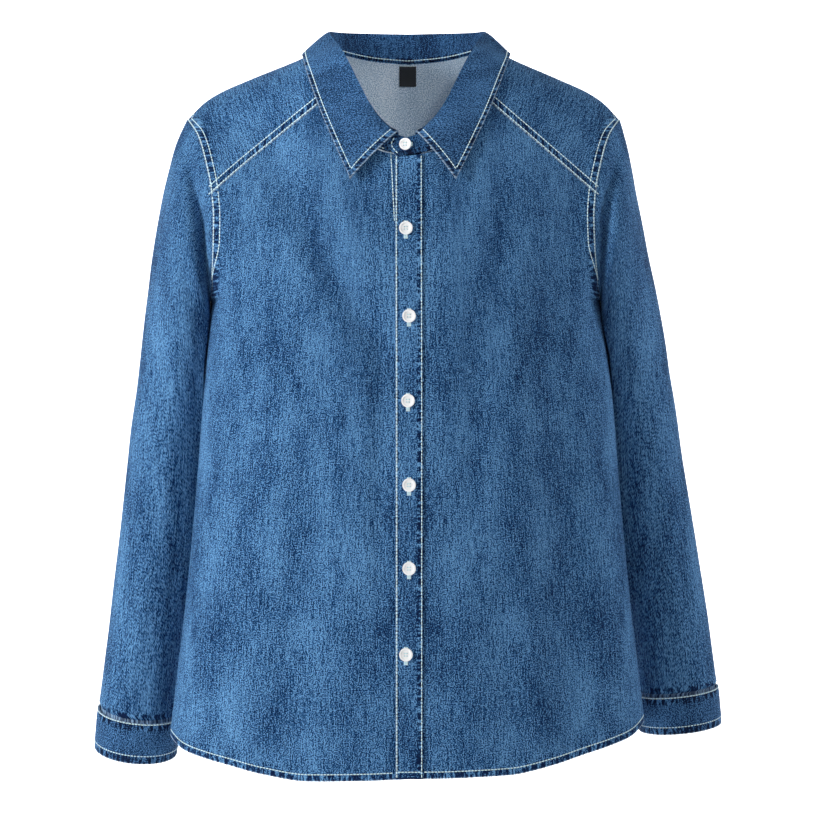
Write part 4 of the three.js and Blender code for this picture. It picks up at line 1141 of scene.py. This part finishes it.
class SHIRT_OT_yoke(bpy.types.Operator):
    """Add the yoke, one piece over both shoulders, with double rows along its seams"""
    bl_idname = "shirt.yoke"
    bl_label = "Yoke"

    def execute(self, context):
        columns, rows, neck = 60, 60, 56
        halves = {side: yoke_front_sheet(side, columns, rows) for side in (RIGHT, LEFT)}

        # Back of the yoke, column by column from the right armhole past the neck to the left one
        step = np.arange(2 * columns + neck + 1) - columns - neck / 2
        side = np.where(step < 0, -1.0, 1.0)
        past = np.maximum(np.abs(step) - neck / 2, 0) / columns
        near = np.minimum(np.abs(step), neck / 2) / (neck / 2) * NECK_SIDE_X
        on_ridge = near >= NECK_SIDE_X
        shoulder = BODY["half"][RIDGE_ROWS - 1]
        ridge_x = lerp(NECK_SIDE_X, shoulder, past)
        top = np.where(on_ridge, ridge_z(ridge_x), neck_back(near))
        top_x = np.where(on_ridge, ridge_x, near)
        armhole = float(half_width(np.array(YOKE_BACK_Z)))
        bottom_x = np.where(on_ridge, lerp(NECK_SIDE_X, armhole, past), near)
        rise = (1 - (1 - np.linspace(0, 1, rows + 1)) ** 2)[:, None]
        z = lerp(YOKE_BACK_Z, top, rise)
        edge = half_width(lerp(YOKE_BACK_Z, ridge_z(np.array([shoulder]))[0], rise))
        x = lerp(bottom_x, top_x, rise) + past**3 * (edge - lerp(armhole, shoulder, rise))
        x[-1] = top_x
        points = body_point(BACK, side * x, z)
        points[-1, :, 1] = np.where(on_ridge, 0, points[-1, :, 1])
        seams = nearest_seam((side * x, z - YOKE_BACK_Z), (z, x[:, -1:] - x))
        wall = context.scene.shirt_sizes.cloth / MM
        finishes = ("denim", "inside")
        sheets = [cloth_sheet("yoke_back", points, wall, from_middle, seams, finishes,
                              start=(0, len(step) // 2))]
        for side, (points, seams) in halves.items():
            sheets.append(cloth_sheet("yoke_side", points, wall, from_middle, seams, finishes))
        only(sheets[0])
        for sheet in sheets:
            sheet.select_set(True)
        bpy.ops.object.join()
        yoke = bpy.context.object
        yoke.name = "yoke_panel"

        lines = []
        for side in (RIGHT, LEFT):
            lines += [seam_line(side, up, 66 + up, 191) for up in (EDGE_STITCH, BAND)]
            for inset in (EDGE_STITCH, BAND + 0.5):
                line = armhole_line(FRONT, side, inset)
                lines.append(clip_line(line, low=seam_z(np.abs(line[0][:, 0])) + 2))
                lines.append(clip_line(armhole_line(BACK, side, inset), low=YOKE_BACK_Z + 1))
        for up in (EDGE_STITCH, BAND):
            lines.append(body_line(BACK, np.linspace(-194, 194, 260), YOKE_BACK_Z + up))
        threads = thread_mesh("yoke_thread", lines)
        declare("yoke")
        return {"FINISHED"}


def from_middle(p):
    """Away from a point in the middle of the chest."""
    return p - np.array([0.0, 0.0, -200.0])


class SHIRT_OT_sleeves(bpy.types.Operator):
    """Add the two sleeves with the seam along the underarm"""
    bl_idname = "shirt.sleeves"
    bl_label = "Sleeves"

    def execute(self, context):
        wall = context.scene.shirt_sizes.cloth / MM
        for side, name in ((RIGHT, "right"), (LEFT, "left")):
            around, rings = 110, 170
            angle = 180 + np.linspace(0, 360, around + 1)[None, :]
            end = CUFF_START + CUFF_TUCK / (SLEEVE["out_z"][15] - SLEEVE["out_z"][16])
            row = np.linspace(0, end, rings + 1)[:, None]
            tuck = ease((row - CUFF_START + 0.9) / 0.75)
            fade = np.clip(row / 0.8, 0, 1) * np.clip((CUFF_START - row) / 1.2, 0, 1)
            # Small gathers where the cuff takes the sleeve in
            gather = np.exp(-(((row - CUFF_START + 0.2) / 0.9) ** 2))
            waves = np.sin(np.radians(angle) * 17) + 0.7 * np.sin(np.radians(angle) * 29 + 1)
            lift = -CUFF_SEAT * tuck - sleeve_fold(row, angle) * fade + 0.5 * gather * waves
            points = sleeve_point(side, row, angle, lift)
            # The sleeve's edge turns in under the body's
            loop = points[0]
            hidden = loop + np.array([-side * 7.0, 0, 0])
            hidden[:, 1:] = lerp(hidden[:, 1:], np.array([0.0, ARMHOLE_Z]), 0.035)
            points = np.concatenate([hidden[None], points], axis=0)
            down = lengths_along(points, 0, 0)
            round_it = lengths_along(points, 1, around // 2)
            to_cuff = np.maximum(down[-1:] - CUFF_TUCK - down, 0)
            seams = nearest_seam((round_it, down + 2), (round_it, to_cuff + 1),
                                 (down, np.minimum(np.abs(round_it - round_it[:, :1]),
                                                   np.abs(round_it - round_it[:, -1:]))))

            def outward(p, side=side):
                mid = np.stack([side * (205 + (-p[:, 2] - 100) * 0.12), np.interp(
                    -p[:, 2], (60, 240, 400, 700), (5, 35, 60, 57)), p[:, 2]], axis=-1)
                return p - mid
            sheet = cloth_sheet(f"{name}_sleeve", points, wall, outward, seams,
                                start=(0, around // 2), around=True)
            lines = []
            for turn in (176.0, 183.0):
                r = np.linspace(0.4, CUFF_START - 0.3, 260)
                a = np.full(260, turn)
                deep = -sleeve_fold(r, a) * np.clip(r / 0.8, 0, 1) * np.clip(
                    (CUFF_START - r) / 1.2, 0, 1)
                p = sleeve_point(side, r, a, deep)
                lines.append((p, outward(p)))
            threads = thread_mesh(f"{name}_sleeve_thread", lines)
            declare(f"sleeve_{name}")
        return {"FINISHED"}


class SHIRT_OT_cuffs(bpy.types.Operator):
    """Add the two cuffs, lapped at the back, with a row of stitches along each edge"""
    bl_idname = "shirt.cuffs"
    bl_label = "Cuffs"

    def execute(self, context):
        for side, name in ((RIGHT, "right"), (LEFT, "left")):
            u = np.linspace(0, 1, 181)[None, :]
            v = np.linspace(0, 1, 27)[:, None]

            def surface(turn, down, side=side, lift=0.0):
                wound = turn * CUFF_TURN / 360 * (CUFF_WALL + 2 * SEAM)
                angle = CUFF_LAP_MIDDLE - (CUFF_TURN - 360) / 2 + turn * CUFF_TURN
                return sleeve_point(side, CUFF_START + down, angle, wound + lift)
            points = surface(u, v)
            down = lengths_along(points, 0, 0)
            run = lengths_along(points, 1, 0)
            to_edge = np.minimum(down, down[-1:] - down)
            to_end = np.minimum(run, run[:, -1:] - run)
            # The layers between the rows puff, and the lower edge puckers
            wave = np.sin(run / 6.7 * math.tau / 1.0) + 0.6 * np.sin(run / 10.3 * math.tau + 2)
            lift = 0.5 * ease((to_edge - 1.5) / 6) + 0.16 * wave * ease(1 - to_edge / 8)
            points = surface(u, v, lift=lift)
            seams = nearest_seam((run, to_edge * 1.0), (down, to_end))

            def outward(p, side=side):
                return p - np.array([side * 277.0, 57.0, -668.0])
            sheet = cloth_sheet(f"{name}_cuff_band", points, CUFF_WALL, outward, seams,
                                ("collar",))
            lines = []
            t = np.linspace(0.012, 0.995, 260)
            for place in (0.055, 0.82):
                a, b = t, np.full(260, place)

                def near(p, q):
                    return surface(p, q, lift=0.15)
                p = near(a, b)
                lines.append((p, outward_normals(near, a, b, 0.004, 0.02, outward(p))))
            threads = thread_mesh(f"{name}_cuff_thread", lines)
            declare(f"cuff_{name}")
        return {"FINISHED"}


class SHIRT_OT_collar(bpy.types.Operator):
    """Add the collar's stand and fall with a row of stitches round the leaves"""
    bl_idname = "shirt.collar"
    bl_label = "Collar"

    def execute(self, context):
        wall = context.scene.shirt_sizes.collar / MM

        def outward(p):
            return np.stack([p[:, 0] * 0.6, p[:, 1] - NECK_MIDDLE_Y, 0 * p[:, 2]], axis=-1)

        u, v = np.linspace(0, 1, 221)[None, :], np.linspace(0, 1, 17)[:, None]
        u, v = np.broadcast_arrays(u, v)
        points = stand_point(u, v)
        up, run = lengths_along(points, 0, 0), lengths_along(points, 1, 110)
        seams = nearest_seam((run, up + 3), (up, np.minimum(run - run[:, :1], run[:, -1:] - run)))
        stand = cloth_sheet("stand_band", points, wall, outward, seams, ("stand",),
                            start=(0, 110))
        # Rows outside along the foot, round the lapping end, and inside along the back's foot
        lines = []
        along, across = np.linspace(0, 1, 200), np.full(200, 0.09)
        for a, b, inside in ((lerp(0.07, 0.93, along), across, 0),
                             (across * 0 + 0.994, lerp(0.14, 0.86, along), 0),
                             (lerp(0.3, 0.7, along), across * 0.6, DOUBLE)):
            p = stand_point(a, b)
            n = outward_normals(stand_point, a, b, 0.002, 0.03, outward(p))
            lines.append((p - n * inside, -n if inside else n))
        stand_thread = thread_mesh("stand_thread", lines)
        declare("collar_stand")

        across = np.concatenate([np.linspace(-1, -0.1, 8), np.linspace(0, 0.05, 5),
                                 np.linspace(0.08, 1, 34)])
        u, v = np.broadcast_arrays(np.linspace(0, 1, 241)[None, :], across[:, None])
        points = fall_point(u, v)
        down, run = lengths_along(points, 0, 8), lengths_along(points, 1, 120)
        to_outer = down[-1:] - down
        to_end = np.minimum(run - run[:, :1], run[:, -1:] - run)
        # Puckers along the stitched edge, and a slight bulge of the layers inside it
        edge = np.minimum(to_outer, to_end)
        wave = np.sin(np.where(to_outer < to_end, run, down) / 6.9 * math.tau)
        lift = (0.35 * ease((edge - 1) / 4) + 0.14 * wave * ease(1 - edge / 8)) * (v > 0.06)
        points = fall_point(u, v, lift)
        seams = nearest_seam((run, to_outer), (down, to_end))
        # Inside the fold the leaf takes the stand's darker finish, painted shade where it turns down
        # under the fold
        fall = cloth_sheet("fall_leaf", points, wall, outward_leaf, seams, ("collar",),
                           start=(8, 120), patch=("stand", 8))

        # One row of stitches runs down a front edge, along the outer edge and up the other front
        full = down[-1]
        share = 1 - (BAND - 0.5) / np.maximum(full, 1)
        line_u = np.linspace(0, 1, 241)
        start = float(np.interp(BAND - 0.5, run[-1] - run[-1, 0], line_u))
        stop = 1 - float(np.interp(BAND - 0.5, run[-1, -1] - run[-1, ::-1], line_u))
        a = np.linspace(start, stop, 400)
        b = np.interp(a, line_u, share)
        ends = []
        for end, flip in ((0, False), (1, True)):
            corner = b[0] if end == 0 else b[-1]
            w = np.linspace(0.03, corner, 60)
            run_at = np.stack([np.interp(w, across, run[:, i]) for i in range(241)], axis=-1)
            if end == 0:
                col = [np.interp(BAND - 1, r - r[0], line_u) for r in run_at]
            else:
                col = [1 - np.interp(BAND - 1, r[-1] - r[::-1], line_u) for r in run_at]
            ends.append((np.array(col), w))
        lines = []
        for a1, b1 in ((a, b), *ends):
            def near(p, q):
                return fall_point(p, q, 0.35)
            p = near(a1, b1)
            lines.append((p, outward_normals(near, a1, b1, 0.002, 0.01, outward_leaf(p))))
        fall_thread = thread_mesh("fall_thread", lines)
        declare("collar_fall")
        return {"FINISHED"}


def outward_leaf(p):
    """Away from the neck and up, the way the collar's leaves face."""
    return np.stack([p[:, 0] * 0.6, p[:, 1] - NECK_MIDDLE_Y, 0 * p[:, 2] + 45], axis=-1)


class SHIRT_OT_label(bpy.types.Operator):
    """Add the bare woven label inside the back of the neck"""
    bl_idname = "shirt.label"
    bl_label = "Neck label"

    def execute(self, context):
        x = np.linspace(-LABEL_WIDTH / 2, LABEL_WIDTH / 2, 25)[None, :]
        v = np.linspace(0, 1, 27)[:, None]
        z = -LABEL_HEIGHT * v
        points = body_point(BACK, x, z)
        points[..., 1] -= LABEL_LIFT + LABEL_WALL + 0.5 * np.sin(v * math.pi) + 0 * x
        edge = np.minimum(LABEL_WIDTH / 2 - np.abs(x), LABEL_HEIGHT * np.minimum(v, 1 - v))
        points[..., 1] -= 0.25 * ease(edge / 1.5)
        sheet = cloth_sheet("label_tab", points, LABEL_WALL,
                            lambda p: np.tile([0.0, -1.0, 0.0], (len(p), 1)),
                            (x + 0 * v, edge + 0 * x), ("label",))
        declare("neck_label")
        return {"FINISHED"}


def button_parts(radius):
    """A button lying in the XY plane, in millimetres."""
    deselect_all()
    bpy.ops.mesh.primitive_cylinder_add(vertices=40, radius=radius, depth=BUTTON_WALL * 0.85,
                                        location=(0, 0, BUTTON_WALL * 0.425))
    disc = bpy.context.object
    bpy.ops.object.transform_apply(location=True, rotation=True, scale=True)
    mesh = disc.data
    only(disc)
    bpy.ops.object.mode_set(mode="EDIT")
    bpy.ops.mesh.select_all(action="DESELECT")
    bpy.ops.object.mode_set(mode="OBJECT")
    for face in mesh.polygons:
        face.select = face.normal.z > 0.9
    bpy.ops.object.mode_set(mode="EDIT")
    bpy.ops.mesh.select_mode(type="FACE")
    # A rounded rim round a dished middle
    bpy.ops.mesh.inset(thickness=1.5)
    bpy.ops.mesh.inset(thickness=0.55)
    bpy.ops.transform.translate(value=(0, 0, -0.65))
    bpy.ops.object.mode_set(mode="OBJECT")
    for at_x, at_y in ((1, 1), (-1, 1), (-1, -1), (1, -1)):
        bpy.ops.mesh.primitive_cylinder_add(vertices=14, radius=0.75, depth=8,
                                            location=(at_x * 1.25, at_y * 1.25, 0))
        drill = bpy.context.object
        only(disc)
        cut = disc.modifiers.new("hole", "BOOLEAN")
        cut.operation = "DIFFERENCE"
        cut.solver = "EXACT"
        cut.object = drill
        bpy.ops.object.modifier_apply(modifier="hole")
        bpy.data.objects.remove(drill)
    soft = disc.modifiers.new("soft", "BEVEL")
    soft.width = 0.35
    soft.segments = 3
    soft.limit_method = "ANGLE"
    soft.angle_limit = math.radians(40)
    only(disc)
    bpy.ops.object.modifier_apply(modifier="soft")
    bpy.ops.object.shade_smooth_by_angle(angle=math.radians(40))
    return disc


def thread_bars(name, bars):
    """Short straight threads, each from one point to another, one bead stretched to each."""
    deselect_all()
    bpy.ops.mesh.primitive_uv_sphere_add(segments=8, ring_count=6, radius=0.5)
    thread = bpy.context.object
    thread.name = name
    mesh = thread.data
    bead = np.array([v.co for v in mesh.vertices])
    bead[:, 2] = np.sign(bead[:, 2]) * np.abs(bead[:, 2] * 2) ** 0.5 / 2
    faces = [list(p.vertices) for p in mesh.polygons]
    co, every = [], []
    for start, stop, normal, width in bars:
        start, stop, normal = (np.asarray(v, float) for v in (start, stop, normal))
        way = stop - start
        length = np.linalg.norm(way)
        way = way / length
        side = np.cross(way, normal)
        side /= np.linalg.norm(side)
        up = np.cross(side, way)
        base = len(co) * len(bead)
        co.append((start + stop) / 2 + bead[:, 2:] * way * (length + width)
                  + bead[:, :1] * side * width + bead[:, 1:2] * up * width * 0.8)
        every += [[i + base for i in face] for face in faces]
    mesh.clear_geometry()
    mesh.from_pydata((np.concatenate(co) * MM).tolist(), [], every)
    mesh.materials.append(finish_named("thread"))
    only(thread)
    bpy.ops.object.shade_smooth()
    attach(thread, ROOT)
    return thread


def node_frame(node, outward):
    """Centre of a round node's back and the way it faces, from its corners at rest."""
    mesh = frame_mesh(node)
    middle = mesh.mean(axis=0)
    _, _, axes = np.linalg.svd(mesh - middle, full_matrices=False)
    facing = axes[2] * np.sign(axes[2] @ np.asarray(outward))
    along = (mesh - middle) @ facing
    return middle + facing * along.min(), facing


def frame_mesh(node):
    """Corners of a CAD node, in millimetres, each once."""
    found = np.array([v.co for v in bpy.data.objects[node].data.vertices]) / MM
    return np.unique(np.round(found, 3), axis=0)


class SHIRT_OT_buttons(bpy.types.Operator):
    """Add the nine four-hole buttons with their thread and buttonholes"""
    bl_idname = "shirt.buttons"
    bl_label = "Buttons"

    def execute(self, context):
        nodes = [(f"placket_button_{i + 1}", BUTTON_RADIUS, (0, -1, 0)) for i in range(6)]
        nodes += [("collar_button", SMALL_BUTTON_RADIUS, (0, -1, 0)),
                  ("cuff_button_right", SMALL_BUTTON_RADIUS, (0, 1, 0)),
                  ("cuff_button_left", SMALL_BUTTON_RADIUS, (0, 1, 0))]
        models = {radius: button_parts(radius) for radius in (BUTTON_RADIUS, SMALL_BUTTON_RADIUS)}
        for node, radius, outward in nodes:
            base, facing = node_frame(node, outward)
            upright = np.array([0.0, 0.0, 1.0])
            across = np.cross(upright, facing)
            across /= np.linalg.norm(across)
            up = np.cross(facing, across)
            button = models[radius].copy()
            button.data = models[radius].data.copy()
            context.collection.objects.link(button)
            button.name = f"{node}_disc"
            own = np.array([v.co for v in button.data.vertices])
            placed = base + own[:, :1] * across + own[:, 1:2] * up + own[:, 2:] * facing
            button.data.vertices.foreach_set("co", (placed * MM).ravel())
            button.data.update()
            button.data.materials.append(finish_named("button"))
            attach(button, ROOT)
            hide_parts(node)

            def at(x, y, z):
                return base + across * x + up * y + facing * z
            bars = [(at(-1.25, y, 1.75), at(1.25, y, 1.75), facing, 0.75) for y in (-1.25, 1.25)]
            # The buttonhole: two dense rows of thread beside the slit
            flat = node == "collar_button"
            reach = 8.6 if not flat else 8.2
            level = -0.15 if not node.startswith("cuff") else 0.0
            for k in np.arange(-reach, reach, 0.8):
                for edge in (-0.95, 0.95):
                    a, b = (edge - 0.75, k - 1.2), (edge + 0.75, k - 1.2)
                    if flat or node.startswith("cuff"):
                        a, b = a[::-1], b[::-1]
                    bars.append((at(*a, level), at(*b, level), facing, 0.75))
            thread_bars(f"{node}_thread", bars)
        for model in models.values():
            bpy.data.objects.remove(model)
        return {"FINISHED"}


class SHIRT_PT_panel(bpy.types.Panel):
    """Lists the pieces of the shirt and the sizes and colours that they take"""
    bl_idname = "SHIRT_PT_panel"
    bl_label = "Denim Shirt"
    bl_space_type = "VIEW_3D"
    bl_region_type = "UI"
    bl_category = "Shirt"

    def draw(self, context):
        for step in STEPS:
            self.layout.operator(step.bl_idname)
        for group, owner in ((context.scene.shirt_sizes, ShirtSizes),
                             (context.scene.shirt_colours, ShirtColours)):
            for name in owner.__annotations__:
                self.layout.prop(group, name)


STEPS = (SHIRT_OT_stage, SHIRT_OT_fronts, SHIRT_OT_placket, SHIRT_OT_back, SHIRT_OT_yoke,
         SHIRT_OT_sleeves, SHIRT_OT_cuffs, SHIRT_OT_collar, SHIRT_OT_label, SHIRT_OT_buttons)
CLASSES = (ShirtSizes, ShirtColours, *STEPS, SHIRT_PT_panel)


def register():
    for item in CLASSES:
        bpy.utils.register_class(item)
    bpy.types.Scene.shirt_sizes = bpy.props.PointerProperty(type=ShirtSizes)
    bpy.types.Scene.shirt_colours = bpy.props.PointerProperty(type=ShirtColours)


def unregister():
    del bpy.types.Scene.shirt_colours
    del bpy.types.Scene.shirt_sizes
    for item in reversed(CLASSES):
        bpy.utils.unregister_class(item)


def main():
    register()
    bpy.ops.shirt.stage()
    bpy.ops.shirt.fronts()
    bpy.ops.shirt.placket()
    bpy.ops.shirt.back()
    bpy.ops.shirt.yoke()
    bpy.ops.shirt.sleeves()
    bpy.ops.shirt.cuffs()
    bpy.ops.shirt.collar()
    bpy.ops.shirt.label()
    bpy.ops.shirt.buttons()


if __name__ == "__main__":
    main()
